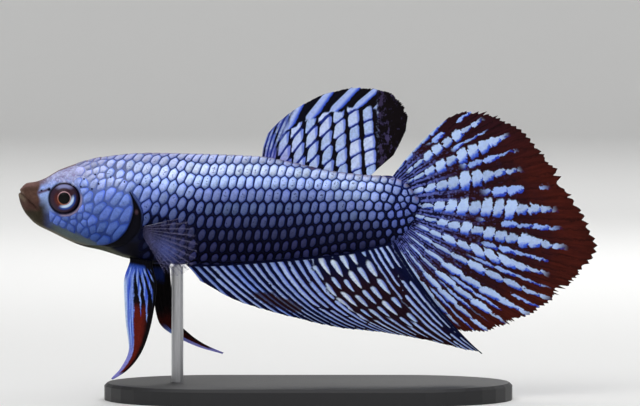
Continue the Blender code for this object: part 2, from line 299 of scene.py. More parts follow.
def add_object(name, data):
    made = bpy.data.objects.new(name, data)
    bpy.context.scene.collection.objects.link(made)
    return made


def add_mesh(name, points, faces, material):
    """A smooth-shaded object, with points in metres."""
    mesh = bpy.data.meshes.new(name)
    mesh.from_pydata(points.tolist(), [], [list(map(int, face)) for face in faces])
    mesh.shade_smooth()
    mesh.materials.append(material)
    return add_object(name, mesh)


def new_mesh(name, points, faces, material, maps=(), colours=(), corners=()):
    """A smooth-shaded object. maps and colours are by vertex, corners are UV maps by face corner."""
    made = add_mesh(name, world(points), faces, material)
    mesh = made.data
    vertices = np.empty(len(mesh.loops), int)
    mesh.loops.foreach_get("vertex_index", vertices)
    by_corner = {key: np.asarray(values)[vertices] for key, values in dict(maps).items()}
    for key, values in {**by_corner, **dict(corners)}.items():
        layer = mesh.uv_layers.new(name=key)
        layer.data.foreach_set("uv", np.asarray(values, np.float32).ravel())
    for key, values in dict(colours).items():
        layer = mesh.color_attributes.new(name=key, type="FLOAT_COLOR", domain="POINT")
        rgba = np.ones((len(mesh.vertices), 4), np.float32)
        rgba[:, :3] = values
        layer.data.foreach_set("color", rgba.ravel())
    return made


def quads_between(rings, turns, first=0):
    """Faces between closed rings of turns points each, from point number first on."""
    return [(a + k, a + turns + k, a + turns + (k + 1) % turns, a + (k + 1) % turns)
            for a in range(first, first + (rings - 1) * turns, turns) for k in range(turns)]


def fan(turns):
    """Faces from point 0 to a ring of turns points that starts at point 1."""
    return [(0, 1 + k, 1 + (k + 1) % turns) for k in range(turns)]


def turned_over(faces):
    return [tuple(reversed(face)) for face in faces]


def piece(made, slot, *nodes):
    """Puts a made object into the model: it rides on the one body and may stand for CAD nodes."""
    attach(made, "root")
    if nodes:
        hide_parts(*nodes)


# ---------------------------------------------------------------------------------------------
# Materials
# ---------------------------------------------------------------------------------------------

class Field:
    """A value in a node tree. Arithmetic on it adds Math nodes."""

    def __init__(self, tree, socket):
        self.tree, self.socket = tree, socket

    def __abs__(self):
        return maths(self.tree, "ABSOLUTE", self)


def arithmetic(operation, turned=False):
    """A method for Field, with its two values the other way round where turned is set."""
    return lambda self, other: maths(self.tree, operation, *((other, self) if turned else (self, other)))


for word, operation in (("add", "ADD"), ("sub", "SUBTRACT"), ("mul", "MULTIPLY"), ("truediv", "DIVIDE"),
                        ("pow", "POWER")):
    setattr(Field, f"__{word}__", arithmetic(operation))
    setattr(Field, f"__r{word}__", arithmetic(operation, turned=True))


def plug(tree, value, target):
    """Links a Field to an input, or sets the input to a number or colour."""
    if isinstance(value, Field):
        tree.links.new(value.socket, target)
    elif np.ndim(value) and len(target.default_value) == 4:
        target.default_value = (*value, 1)
    else:
        target.default_value = value


def node(tree, kind, inputs=(), output=0, **settings):
    """Adds a shader node with these settings and inputs, and gives one of its outputs."""
    made = tree.nodes.new("ShaderNode" + kind)
    for key, value in settings.items():
        setattr(made, key, value)
    for key, value in dict(inputs).items():
        plug(tree, value, made.inputs[key])
    return Field(tree, made.outputs[output])


def maths(tree, operation, *values):
    return node(tree, "Math", enumerate(values), operation=operation)


def most(a, b):
    return maths(a.tree, "MAXIMUM", a, b)


def floor(a):
    return maths(a.tree, "FLOOR", a)


def fraction(a):
    return maths(a.tree, "FRACT", a)


def eased(value, low, high, start=0.0, end=1.0):
    """From start where value is low to end where it is high, eased at both. low may be over high."""
    numbers = enumerate((value, low, high, start, end))
    return node(value.tree, "MapRange", numbers, interpolation_type="SMOOTHSTEP")


def bell(value, centre, width):
    far = (value - centre) / width
    return maths(value.tree, "POWER", math.e, (far * far) * -1.0)


def mixed_number(share, below, above):
    """A number: above over below, by share."""
    if isinstance(below, (int, float)):
        return share * (above - below) + below
    return share * above + (1.0 - share) * below


def mixed(share, below, above):
    """Colours: above over below, by share."""
    return node(share.tree, "Mix", {0: share, 6: below, 7: above}, 2, data_type="RGBA")


def layered(colour, *layers):
    """A colour with each (share, colour) layer laid over the ones before it."""
    for share, above in layers:
        colour = mixed(share, colour, above)
    return colour


def brightened(colour, by):
    """A colour times a number."""
    return node(colour.tree, "VectorMath", {0: colour, "Scale": by}, operation="SCALE")


def tinted(colour, tint):
    """A colour multiplied by another."""
    return node(colour.tree, "VectorMath", {0: colour, 1: tint}, operation="MULTIPLY")


def split(value, kind="XYZ"):
    """The three numbers of a vector, or with kind "Color" of a colour."""
    first = node(value.tree, "Separate" + kind, {0: value})
    return [Field(value.tree, out) for out in first.socket.node.outputs]


def vector(tree, *numbers):
    return node(tree, "CombineXYZ", enumerate(numbers))


def uv(tree, name):
    """The two values of a UV map."""
    return split(node(tree, "UVMap", uv_map=name))[:2]


def painted(tree, name):
    """A colour attribute."""
    return node(tree, "Attribute", output="Color", attribute_name=name)


def in_metres(tree):
    """The place on the object."""
    return node(tree, "TexCoord", output="Object")


def in_mm(tree):
    """The place on the object, in millimetres."""
    return brightened(in_metres(tree), 1 / MM)


def noise(at, scale, detail=2.0, roughness=0.5, distortion=0.0):
    """Smooth noise from about 0 to 1, with scale features to each unit."""
    inputs = dict(Vector=at, Scale=scale, Detail=detail, Roughness=roughness, Distortion=distortion)
    return node(at.tree, "TexNoise", inputs, "Fac")


def cells(at, scale):
    """Distance from the nearest of scattered points, scale of them to each unit."""
    return node(at.tree, "TexVoronoi", {"Vector": at, "Scale": scale}, "Distance")


def chance(*numbers):
    """A random number from 0 to 1 for each set of whole numbers."""
    tree = numbers[0].tree
    return node(tree, "TexWhiteNoise", {"Vector": vector(tree, *numbers)}, "Value", noise_dimensions="3D")


def surface(colour, height, depth, roughness, metallic=0.0, specular=0.5):
    """A shader's inputs. The height's 0 to 1 stands for depth millimetres."""
    normal = node(height.tree, "Bump", {"Distance": depth * MM, "Height": height})
    return {"Base Color": colour, "Roughness": roughness, "Metallic": metallic,
            "Specular IOR Level": specular, "Normal": normal}


def finish(name, build):
    """A Principled material. build(tree) returns what goes into the shader's inputs."""
    made = bpy.data.materials.new(name)
    made.use_nodes = True
    tree = made.node_tree
    shader = tree.nodes["Principled BSDF"]
    for key, value in build(tree).items():
        plug(tree, value, shader.inputs[key])
    return made


def scale_finish(tree):
    """A scale or plate: pale within a dark border. The map is a unit disc, 1 at the rim, and colour
    attributes hold the pale colour, the dark colour and (share that is pale, chance, specks)."""
    a, b = uv(tree, "Scale")
    pale, dark = painted(tree, "Pale"), painted(tree, "Dark")
    size, odd, specks = split(painted(tree, "Feel"), "Color")
    at = in_mm(tree)
    fine, coarse = noise(at, 5.0, 3.0, 0.6), noise(at, 1.6, 2.0)
    wide, tall = a / size, b / size ** 0.5
    inside = (wide * wide + tall * tall) ** 0.5 + (fine - 0.5) * 0.10
    share = eased(inside, 1.05, 0.91)
    speck = eased(noise(at, 3.6, 3.0, 0.65), 0.55, 0.63) * eased(inside, 0.70, 0.40) * specks
    # Painted shade: each is lightest above its middle, as if lit from above, and darkens to its
    # lower rear edge.
    shade = 0.60 + 0.54 * eased(b - a * 0.5, -1.1, 0.6) + (coarse - 0.5) * 0.5 + (fine - 0.5) * 0.7
    core = brightened(pale, shade + (odd - 0.5) * 0.26)
    core = mixed(odd * 0.7, core, tinted(core, (0.86, 0.84, 1.0)))
    core = mixed(eased(inside + a * 0.15, 0.60, 1.0) * 0.75, core, tinted(core, (0.30, 0.44, 0.90)))
    colour = layered(dark, (share, core), (speck * 0.75, brightened(dark, 1.3)))
    height = share * 0.6 + fine * 0.25 + eased(inside, 1.0, 0.2) * 0.3
    return surface(colour, height, 0.035, 0.50 - share * 0.12 + (coarse - 0.5) * 0.12, share * 0.25, 0.05)


def skin_finish(tree):
    """Bare skin: its painted colour with fine mottling, pores and, on the top of the snout, pale and
    violet flecks. A colour attribute holds (gloss, mottling, flecks)."""
    at = in_mm(tree)
    tone = painted(tree, "Tone")
    gloss, mottle, flecked = split(painted(tree, "Feel"), "Color")
    fine, coarse = noise(at, 6.0, 4.0, 0.6), noise(at, 1.4, 3.0)
    shade = 1.0 + (fine - 0.5) * mottle * 1.5 + (coarse - 0.5) * mottle * 1.1
    pore = eased(cells(at, 3.1), 0.16, 0.10) * mottle
    light = eased(noise(at, 2.6, 3.0, 0.65), 0.50, 0.62) * flecked
    violet = eased(noise(at, 2.1, 3.0, 0.65, 0.4), 0.53, 0.62) * flecked
    colour = layered(
        brightened(tone, shade),
        (pore * 0.35, brightened(tone, 0.45)),
        (violet * 0.55, rgb(138, 116, 168)),
        (light * 0.60, rgb(206, 214, 250)))
    height = fine * 0.6 + noise(at, 22.0, 2.0) * 0.4 - pore * 0.5
    return surface(colour, height, 0.035, 0.52 + (fine - 0.5) * 0.16, gloss * 0.1, 0.05)


def eye_finish(tree):
    """A black pupil in a thin gold ring, a dark red-brown iris with painted highlights, grey-violet
    over its top and a pale crescent low at the back, and a dark outer ring, under a clear wet coat.
    The map holds the place on the disc, -1 to 1."""
    a, b = uv(tree, "Eye")
    radius = (a * a + b * b) ** 0.5 + (noise(vector(tree, a, b), 5.0, 3.0) - 0.5) * 0.03
    streak = noise(vector(tree, maths(tree, "ARCTAN2", b, a) * 3.2, radius * 1.5), 3.0, 4.0, 0.65)
    low_front = eased(a + b, 0.15, -0.75)
    low_back = eased((a - 0.10) * 0.62 - (b + 0.06) * 0.78, 0.02, 0.34)
    # Painted highlights: grey-violet over the top of the iris, and a pale crescent low at the back.
    top = eased(b - abs(a) * 0.55, 0.22, 0.62)
    painted_glint = low_back * eased(radius, 0.42, 0.48) * eased(radius, 0.68, 0.58)
    ring = eased(abs(radius - 0.415), 0.040, 0.016)
    colour = layered(
        rgb(28, 13, 20),
        (streak, rgb(70, 38, 52)),
        (low_front * eased(radius, 0.78, 0.5) * 0.6, rgb(104, 40, 20)),
        (eased(radius, 0.52, 0.80) * 0.5, rgb(52, 42, 62)),
        (top * eased(radius, 0.60, 0.74) * eased(radius, 0.93, 0.84), rgb(132, 136, 184)),
        (low_back * eased(radius, 0.46, 0.56) * eased(radius, 0.82, 0.66), rgb(26, 74, 170)),
        (painted_glint, rgb(206, 228, 254)),
        (ring * 0.85, mixed(low_front, rgb(196, 156, 164), rgb(168, 92, 44))),
        (eased(radius, 0.90, 0.95), rgb(20, 16, 32)),
        (eased(radius, 0.385, 0.365), rgb(4, 3, 4)))
    wet = {"Coat Weight": 0.16, "Coat Roughness": 0.04, "Coat IOR": 1.33}
    return {**surface(colour, streak, 0.02, 0.4, painted_glint * 0.3 + ring * 0.3, 0.1), **wet}


def fin_surface(colour, pale, at, ridges):
    """What the fins share: pale patches stand up and shine a little more than the web."""
    height = pale * 0.35 + noise(at, 9.0, 3.0, 0.6) * 0.3 + ridges * 0.5
    return surface(colour, height, 0.05, 0.55 - pale * 0.1, pale * 0.15, 0.06)


def fin_fields(tree, coarse, detail, fine):
    """Of a fin: the ray's number, the length along it, the shares of the way out and back, the place,
    and coarse and fine noise of these scales, round 0."""
    at = in_mm(tree)
    wander = noise(at, coarse, detail) - 0.5
    return (*uv(tree, "Rays"), *uv(tree, "Span"), at, wander, noise(at, fine, 3.0, 0.6) - 0.5)


def stripes(number, low, high):
    """From 0 where the number is low away from a middle between whole ones to 1 where it is high away."""
    return eased(abs(fraction(number) - 0.5), low, high)


def tail_row(fields, lower, reach, offset, widest, from_t, length):
    """Blocks along every ray of the tail, or with offset 0.5 half way between the rays: (share, share
    that is edge, a chance for each block)."""
    u, along, t, s, fine = fields
    index = floor(u + (0.5 - offset))
    across = u - index - offset
    own, other = chance(index, offset * 2 + 3.0), chance(index, offset * 2 + 9.0)
    run = along / (length * (1.0 + lower * 0.9)) + own * 5.0 + fine * 0.45 + across * 0.5
    cell, part = floor(run), fraction(run)
    odd = chance(index, cell, offset + 1.0)
    last = reach + (own - 0.5) * 0.14
    width = widest * (0.66 + 0.50 * odd) * eased(t, last - 0.35, last, 1.0, 0.30)
    width = width * eased(t, 0.0, 0.35, 0.7, 1.0) * (1.0 - lower * 0.18) * eased(s, 0.12, 0.32, 0.82, 1.0)
    neck = mixed_number(eased(t, last - 0.30, last - 0.15), lower * 0.40 + 0.10, 0.85)
    neck = mixed_number(eased(odd, 0.25, 0.4), 0.45, neck)
    width = width * mixed_number(eased(abs(part - 0.5), 0.48, 0.30), neck, 1.0)
    start = from_t + other * 0.10
    here = eased(t, start - 0.04, start + 0.03) * eased(t, last + 0.03, last - 0.05)
    edge = eased((across * 0.9 + (part - 0.5) * 0.12) / width, 0.15, 0.85)
    kept = 1.0 if offset == 0 else eased(odd, 0.22, 0.28)
    return eased(abs(across) / width, 1.12, 0.84) * here * kept, edge, odd


def tail_finish(tree):
    """Rows of pale blue blocks along the rays, on maroon that turns to brick red at the rim."""
    ray, along, t, s, at, wander, fine = fin_fields(tree, 0.9, 3.0, 3.0)
    u = ray + wander * 0.20 + fine * 0.18
    lower = eased(s, 0.58, 0.80)
    reach = 0.80 + eased(s, 0.26, 0.06) * 0.16 + eased(s, 0.55, 0.80) * 0.15
    fields = u, along, t, s, fine
    main, main_edge, main_odd = tail_row(fields, lower, reach, 0.0, 0.32, 0.0, 1.4)
    between, between_edge, between_odd = tail_row(fields, lower, reach, 0.5, 0.14, 0.40, 1.9)
    # Near the root the web has fine pale lines between the rays, and is dusted with flecks.
    near = eased(t + wander * 0.2, 0.40, 0.12)
    lines = stripes(u * 3.0 + 0.5, 0.30, 0.14) * eased(fine + wander, -0.22, 0.02)
    flecks = eased(cells(at, 2.3), 0.42, 0.24) * eased(t + wander * 0.3, 0.52, 0.10)
    dust = eased(noise(vector(tree, u * 9.0, along * 1.6), 1.0, 2.0), 0.58, 0.68) * eased(t, 0.75, 0.40)
    ground = layered(
        rgb(12, 12, 44),
        (eased(t + wander * 0.2, 0.08, 0.36), rgb(40, 13, 20)),
        (eased(t + wander * 0.35, 0.60, 0.92) * eased(s, 0.12, 0.40), rgb(64, 20, 13)),
        (eased(t + fine * 0.15, 0.90, 1.0) * 0.4, rgb(40, 13, 9)),
        (near * lines * 0.85, rgb(92, 104, 186)),
        (flecks * 0.75, rgb(104, 114, 192)),
        (dust * 0.5, rgb(76, 72, 132)))
    strands = stripes(u * 4.0, 0.5, 0.36)
    hairs = noise(vector(tree, ray * 14.0, along * 0.35), 1.0, 2.0) - 0.5
    ground = brightened(ground, 0.72 + strands * 0.38 + fine * 0.5 + hairs * eased(t, 0.5, 0.9) * 1.6)
    light = mixed(main_edge, rgb(184, 208, 252), rgb(52, 88, 214))
    thin = mixed(between_edge, rgb(156, 184, 246), rgb(44, 70, 196))
    colour = layered(
        ground,
        (main, brightened(light, 0.80 + main_odd * 0.3 + fine * 0.5)),
        (between, brightened(thin, 0.75 + between_odd * 0.35)))
    return fin_surface(colour, most(main, between), at, strands)


def anal_marks(number, along, wander, length, half_width, half_length, seed, power, ragged=0.0, taper=0.2):
    """Marks along the lines that number counts: (share, side, chance of each mark, chance of each
    line). side runs from -1 to 1 across a mark, and taper draws out its lower end."""
    line = floor(number + 0.5)
    own = chance(line, seed)
    run = along / length + own * 7.0 + wander * 0.5
    odd = chance(line, floor(run), seed + 1.0)
    part = fraction(run) - 0.5
    half = half_width * (0.84 + odd * 0.32) * (1.0 - part * taper)
    across = (number - line + (odd - 0.5) * ragged * 0.3) / half
    reach = abs(part) / (half_length * ((odd - 1.0) * ragged + 1.0))
    inside = (most(abs(across), 0.01) ** 2.2 + most(reach, 0.01) ** power) ** (1 / 2.2)
    return eased(inside, 1.16, 0.80), across, odd, own


def anal_finish(tree):
    """Long blue stripes run down the rays on near black. Behind them, on maroon, pale drops stand in
    rows along the rays, and long bands follow the black rear edge."""
    ray, along, t, s, at, wander, fine = fin_fields(tree, 0.8, 3.0, 4.0)
    x, z = uv(tree, "Plane")
    u = ray + wander * 0.24 + fine * 0.14
    slim = eased(t, 0.30, 0.95, 0.285, 0.20)
    on, across, odd, own = anal_marks(u * 0.92, along, wander, 17.0, slim, 0.5, 2.0, 16.0)
    broken = anal_marks(u * 0.92, along, wander, 4.6, slim, 0.49, 7.0, 14.0, 0.12)
    drop = anal_marks(u * 0.74 + 0.2, along, wander, 2.5, 0.25, 0.47, 21.0, 2.6, 0.30, 0.9)
    spread = anal_marks(u * 0.80 + 0.2, along, wander, 6.5, 0.22, 0.48, 41.0, 8.0, 0.2, 0.4)
    streak = anal_marks(u * 1.30 + 0.4, along, wander, 9.0, 0.25, 0.49, 31.0, 12.0, 0.2, 0.4)
    breaks = eased(s + wander * 0.12, 0.40, 0.44) * eased(t + wander * 0.3, 0.30, 0.35)
    behind = eased(s + wander * 0.10, 0.60, 0.62)
    rear = eased(s + wander * 0.03, 0.905, 0.915)
    drops = behind * (1.0 - rear) * eased(t + drop[3] * 0.24, 0.76, 0.70)
    for share, marks in ((breaks, broken), (behind, spread), (drops, drop), (rear, streak)):
        on, across = mixed_number(share, on, marks[0]), mixed_number(share, across, marks[1])
    on = on * eased(t, -0.004, 0.004) * eased(s + fine * 0.02, 1.03, 1.015)
    # A maroon patch without stripes, low at the middle.
    back_of = x - 30.4
    far = ((back_of / 3.4) ** 2.0 + ((z + 12.4 + back_of * 0.30) / 1.0) ** 2.0) ** 0.5
    patch = eased(far + wander * 1.2 + fine * 0.8, 1.0, 0.6)
    on = on * (1.0 - patch * 0.8)
    maroon = most(eased(s + wander * 0.2, 0.36, 0.66) * 0.85 + eased(t, 0.5, 1.0) * 0.15, patch)
    maroon = maroon * eased(s, 1.0, 0.93) * eased(t, 0.05, 0.3)
    ground = brightened(mixed(maroon, rgb(4, 11, 54), rgb(38, 12, 20)), 0.8 + fine * 0.9)
    light = layered(
        rgb(146, 174, 244),
        (own, rgb(198, 216, 252)),
        (most(behind, rear) * 0.5, rgb(206, 226, 254)),
        (drops, mixed(drop[2], rgb(176, 204, 248), rgb(222, 236, 254))),
        (eased(across, 0.0, 0.9) * 0.8 + eased(across, -0.5, -1.0) * 0.4, rgb(50, 76, 204)))
    shade = 0.94 + (odd - 0.5) * 0.24 + fine * 0.8 + wander * 0.35 - eased(t, 0.75, 1.0) * 0.12
    return fin_surface(mixed(on, ground, brightened(light, shade)), on, at, stripes(u * 1.84, 0.5, 0.34))


DORSAL_COLUMN, DORSAL_BLOCK = 1.68, 1.8  # from one column of blocks to the next, and a block's height


def dorsal_blocks(x, z, t, wander, fine):
    """Pale blocks in upright columns: (share, share that is blue, reach across a block, chance)."""
    column = (x + (z - 7.0) * 0.06 - 37.78) / DORSAL_COLUMN + wander * 0.14 + fine * 0.12
    middle = floor(column + 0.5)
    beside = column - middle
    # The blocks' slanting ends flatten towards the rear.
    from_front = x - 30.0
    slope = from_front * 1.5 - from_front * from_front * 0.05
    height = (z - slope) / DORSAL_BLOCK + 0.856 + wander * 0.25 + fine * 0.10
    height = height + (chance(middle, 2.0) - 0.5) * 0.24
    level = floor(height)
    part = height - level - 0.5
    odd = chance(middle, level)
    half = 0.470 - eased(x + fine * 0.5, 38.4, 34.6) * 0.06 - eased(t, 0.35, 0.60) * 0.03 - odd * 0.03
    # Towards the front their blunt corners are cut away, which leaves black knots between them.
    room = eased(x, 40.6, 36.4) * (eased(abs(part), 0.24, 0.46, 0.05, -0.055) + beside * part * 0.45)
    sides = most(abs(beside) / (0.365 + (odd - 0.5) * 0.09 + room), 0.01)
    inside = (sides ** 7.0 + most(abs(part) / half, 0.01) ** 7.0) ** (1 / 7.0)
    blue = most(eased(beside, 0.14, 0.33), eased(part, -0.26, -0.46))
    return eased(inside, 1.06, 0.92), blue, sides, odd


def dorsal_finish(tree):
    """Pale blocks with slanting ends stand in upright columns between black bands, and are shorter
    towards the front. Along the rim the rays end in long pale streaks, and the rear is black."""
    ray, _, t, s, at, wander, fine = fin_fields(tree, 0.7, 2.0, 3.4)
    x, z = uv(tree, "Plane")
    block, blue, sides, odd = dorsal_blocks(x, z, t, wander, fine)
    # The leading edge has fine streaks along its rays.
    lead = eased(s, 0.13, 0.09)
    lines = stripes(ray * 3.4, 0.16, 0.34) * (0.6 + fine)
    # Along the rim each ray ends in one long pale streak.
    index = floor(ray + 0.3)
    off = ray - 0.2 - index + fine * 0.10
    since = t - index * 0.065 - 0.46
    wide = eased(t, 0.60, 1.0, 0.31, 0.20) * eased(since, 0.0, 0.10, 0.60, 1.0)
    wide = wide * (0.85 + chance(index, 6.0) * 0.3)
    rim = eased(since + fine * 0.05, -0.01, 0.02) * (1.0 - lead)
    streak = eased(abs(off) / wide + fine * 0.3, 1.12, 0.86) * eased(t, 1.0, 0.98)
    pale = mixed_number(rim, mixed_number(lead, block, lines), streak)
    rear = eased(x + fine * 0.9, 41.9, 42.3)
    specks = noise(vector(tree, x * 1.3, z * 0.8), 1.0, 5.0, 0.75) + eased(x, 42.2, 45.2, 0.04, -0.07)
    pale = pale * (1.0 - rear) + rear * (eased(specks, 0.53, 0.60) * 0.7)
    ground = brightened(mixed(eased(x, 33.0, 44.0), rgb(9, 8, 26), rgb(15, 8, 13)), 0.8 + fine * 0.9)
    seam = eased(sides, 1.0, 0.8) * (1.0 - rim) * (1.0 - rear) * 0.8
    light = layered(
        mixed(odd, rgb(182, 206, 254), rgb(206, 218, 254)),
        (blue * 0.75, rgb(64, 98, 220)),
        (eased(t, 0.35, 0.02) * eased(x, 34.0, 30.0) * 0.6, rgb(118, 106, 206)))
    light = brightened(light, 0.96 + fine * 0.8 + (odd - 0.5) * 0.14)
    streaked = mixed(eased(off / wide, 0.0, 0.9), rgb(176, 196, 252), rgb(58, 92, 222))
    light = layered(
        light,
        (rim, brightened(streaked, 0.95 + fine * 0.6)),
        (rear, mixed(odd, rgb(78, 70, 116), rgb(54, 40, 58))))
    colour = layered(ground, (seam, rgb(36, 54, 150)), (pale, light))
    return fin_surface(colour, pale * 0.9, at, stripes(ray + 0.5, 0.11, 0.04))


def pelvic_finish(tree):
    """Blue streaks fan from the black root, a pale band follows the leading edge to the tip, and the
    web is brick red with a black rear edge. The fin's inner face is painted darker, as shade."""
    t, s = uv(tree, "Span")
    at = in_mm(tree)
    facing = split(node(tree, "NewGeometry", output="True Normal"))[1] * split(at)[1]
    # Painted shade: the inner face is darker, and nearer the root loses its blue.
    inner = 1.0 - eased(facing, -0.05, 0.05)
    wander = noise(at, 0.9, 3.0) - 0.5
    fine = noise(at, 4.5, 3.0, 0.6) - 0.5
    edge = eased(t, 0.50, 0.80, 0.30, 0.46) + wander * 0.14 + fine * 0.08
    band = most(eased(s - edge, 0.03, -0.03), eased(t, 0.84, 0.92))
    # The streaks spread as they leave the root.
    spread = s / (t * 1.15 + 0.60) * 4.6 + wander * 0.5 + fine * 0.25
    number = floor(spread)
    own = chance(number, 4.0)
    off = abs(spread - number - 0.5) / (0.16 + own * 0.16)
    end = 0.24 + own * 0.18
    streaks = eased(off / eased(t, end, end - 0.2, 0.25, 1.0), 1.15, 0.75) * eased(t, end + 0.02, end - 0.02)
    haze = eased(t + fine * 0.12, 0.14, 0.07) * eased(t, 0.0, 0.04) * eased(s, 0.75, 0.6)
    blue = most(band * eased(t, 0.03, 0.10), streaks * eased(t, 0.03, 0.07) * eased(s, 0.95, 0.85))
    blue = blue * (1.0 - inner * eased(t, 0.55, 0.40))
    flicks = noise(vector(tree, s * 13.0, t * 3.0), 1.0, 3.0, 0.6)
    bright = eased(s, 0.12, 0.02) * eased(t, 0.12, 0.2) * eased(t, 0.75, 0.6)
    light = layered(
        rgb(54, 86, 208),
        (eased(flicks, 0.40, 0.62), rgb(150, 180, 250)),
        (bright * 0.8, rgb(206, 226, 254)),
        (eased(t, 0.50, 0.75), rgb(148, 146, 222)))
    ground = layered(
        rgb(104, 29, 19),
        (eased(s + wander * 0.15, 0.62, 0.88), rgb(12, 7, 10)),
        (eased(t + wander * 0.14, 0.38, 0.28), rgb(5, 5, 12)),
        (haze, rgb(44, 78, 178)),
        (inner * 0.7, rgb(12, 5, 6)))
    colour = mixed(blue, brightened(ground, 0.85 + fine * 0.8), brightened(light, 0.95 + fine * 0.6))
    return fin_surface(colour, blue, at, flicks)


def pectoral_finish(tree):
    """A clear web with faint violet-grey rays, bluish near its lower middle, and a painted highlight,
    pale, along its top.
    """
    ray, _ = uv(tree, "Rays")
    t, s = uv(tree, "Span")
    at = in_mm(tree)
    fine = noise(at, 2.4, 3.0, 0.6) - 0.5
    spine = stripes(ray + 0.5, 0.22, 0.08)
    blue = bell(t, 0.42, 0.30) * bell(s, 0.62, 0.25)
    # A painted highlight along the top, which also makes the web less clear there.
    top = eased(ray, 0.4, 0.15) * eased(t, 0.55, 0.25)
    web = mixed(blue, rgb(66, 62, 92), rgb(88, 106, 190))
    colour = layered(web, (spine, rgb(112, 110, 152)), (top, rgb(150, 152, 176)))
    alpha = 0.12 + spine * 0.24 + blue * 0.24 + eased(t, 0.25, 0.0) * 0.3 + fine * 0.08 + top * 0.25
    alpha = most(alpha * eased(t, 1.0, 0.50, 0.45, 1.0), 0.02)
    return {**fin_surface(brightened(colour, 1.0 + fine * 0.6), spine, at, spine), "Alpha": alpha}


def base_finish(tree):
    """Satin black powder coat with a fine grain and faint clouds."""
    at = in_mm(tree)
    grain, cloud = noise(at, 9.0, 3.0, 0.6), noise(at, 0.08, 3.0)
    colour = mixed(grain * 0.35 + cloud * 0.3, rgb(20, 20, 22), rgb(36, 36, 40))
    return surface(colour, grain, 0.02, 0.40 + grain * 0.14 + cloud * 0.08)


def rod_finish(tree):
    """Steel with fine brushing along the rod."""
    x, y, z = split(in_metres(tree))
    brushed = noise(vector(tree, x * 16000.0, y * 16000.0, z * 500.0), 1.0, 3.0)
    colour = mixed(brushed, rgb(150, 151, 155), rgb(196, 197, 200))
    return surface(colour, brushed, 0.006, 0.26 + brushed * 0.16, 1.0)


# ---------------------------------------------------------------------------------------------
# Lines on the head, as (x, z)
# ---------------------------------------------------------------------------------------------

MOUTH = curve(((-0.1, 0.66), (0.5, 0.12), (1.2, -0.55), (1.9, -1.15), (2.35, -1.75)))
JAW_FOLD = curve(((2.3, -0.3), (2.45, -1.3), (2.8, -2.3), (3.4, -3.2)))
GILL_EDGE = curve(((13.05, 0.65), (13.4, -0.2), (13.55, -1.4), (13.35, -2.5), (12.9, -3.7), (12.1, -4.7),
                   (11.1, -5.45), (9.6, -5.85), (8.2, -5.85), (7.0, -5.6)), 60)
MEMBRANE_EDGE = curve(((13.5, 0.2), (14.1, -0.9), (14.5, -2.2), (14.35, -3.6), (13.8, -4.7), (12.9, -5.6),
                       (11.6, -6.2), (10.0, -6.4), (8.2, -6.1), (7.0, -5.8)), 60)
CHEEK_LINE = curve(((7.3, 1.9), (7.9, 0.6), (8.15, -0.9), (8.5, -2.4), (9.0, -3.8), (9.2, -5.0)))
NOSTRIL_LINE = np.array(((2.4, 0.45), (3.7, 0.9)))
NOSTRILS = ((3.62, 0.86, 0.17), (2.75, 0.72, 0.10))  # x, z, radius
EYE_RADIUS = 1.80


def eye_far(x, z):
    return np.hypot(x - EYE_CENTRE[0], z - EYE_CENTRE[2])


def over_throat(x, z, line):
    """The height over a line that runs down and back under the cheek, from this height below the eye."""
    return z - (line - 0.42 * (x - 4.6))


# ---------------------------------------------------------------------------------------------
# Colours over the body
# ---------------------------------------------------------------------------------------------

SNOUT_BROWN = rgb(84, 61, 53)
CROWN_BROWN = rgb(122, 92, 88)
BACK_BROWN = rgb(128, 100, 106)
JAW_OLIVE = rgb(52, 46, 36)
THROAT_GREY = rgb(84, 95, 98)
INK = rgb(9, 8, 16)
# Down the flank: height over mid side, a scale's pale colour, the pale share of its size, and the
# dark colour between the scales. Both colours darken towards the belly, partly the fish's own
# colour and partly painted shade, as if lit from above.
FLANK_ROWS = (
    (-5.8, (66, 68, 112), 0.60, (3, 3, 24)), (-4.5, (54, 56, 92), 0.60, (3, 4, 28)),
    (-3.2, (58, 62, 98), 0.61, (3, 5, 32)), (-1.5, (74, 82, 124), 0.67, (4, 7, 38)),
    (0.0, (96, 112, 158), 0.75, (5, 8, 46)), (1.6, (128, 144, 200), 0.84, (6, 12, 66)),
    (3.2, (182, 204, 250), 0.89, (9, 20, 96)), (4.7, (208, 224, 252), 0.91, (14, 28, 112)),
    (6.0, (190, 202, 240), 0.91, (24, 30, 94)), (8.0, (178, 178, 220), 0.91, (34, 28, 62)))
HEIGHTS, FLANK, OVALS, BETWEEN = zip(*FLANK_ROWS)


def colour_by_height(height, colours):
    columns = zip(*(rgb(*colour) for colour in colours))
    return np.stack([np.interp(height, HEIGHTS, column) for column in columns], axis=-1)


def head_colour(x, z):
    """The plates' pale colour over the head: it darkens downwards, partly their own colour and
    partly painted shade, with a painted highlight over the temple.
    """
    return painted_over(
        rgb(184, 186, 230),
        (step(z, 2.8, 1.2), rgb(152, 174, 240)),
        # Painted highlight over the temple, where light from above falls brightest.
        (bump(x, 11.2, 3.0) * bump(z, 2.9, 1.6) * 0.8, rgb(204, 220, 252)),
        (step(z, 1.7, -1.2) * step(x, 5.5, 9.0), rgb(120, 148, 226)),
        (step(z, -0.6, -2.6), rgb(98, 124, 196)),
        (step(z, -2.8, -4.6), rgb(62, 88, 150)),
        (bump(x, 3.4, 1.0) * bump(z, -0.3, 1.2), rgb(156, 182, 236)))


def crease_share(x, z):
    """How dark the skin is between the head's plates: least on the top of the snout."""
    share = 0.60 - 0.42 * step(z, 0.9, 1.9) * step(x, 9.6, 7.0)
    return np.maximum(share - 0.65 * step(x, 4.6, 3.6) * step(z, -2.2, -1.6), 0)


def flank_height(x, z):
    """Height over the side's midline, with the light rows dipping at the front and near the tail."""
    lower = 0.6 * step(x, 24, 15) * step(z, -4.5, -1.0) + 1.5 * step(x, 33, 42) * step(z, -4.6, -2.0)
    return z - midline(x) + lower


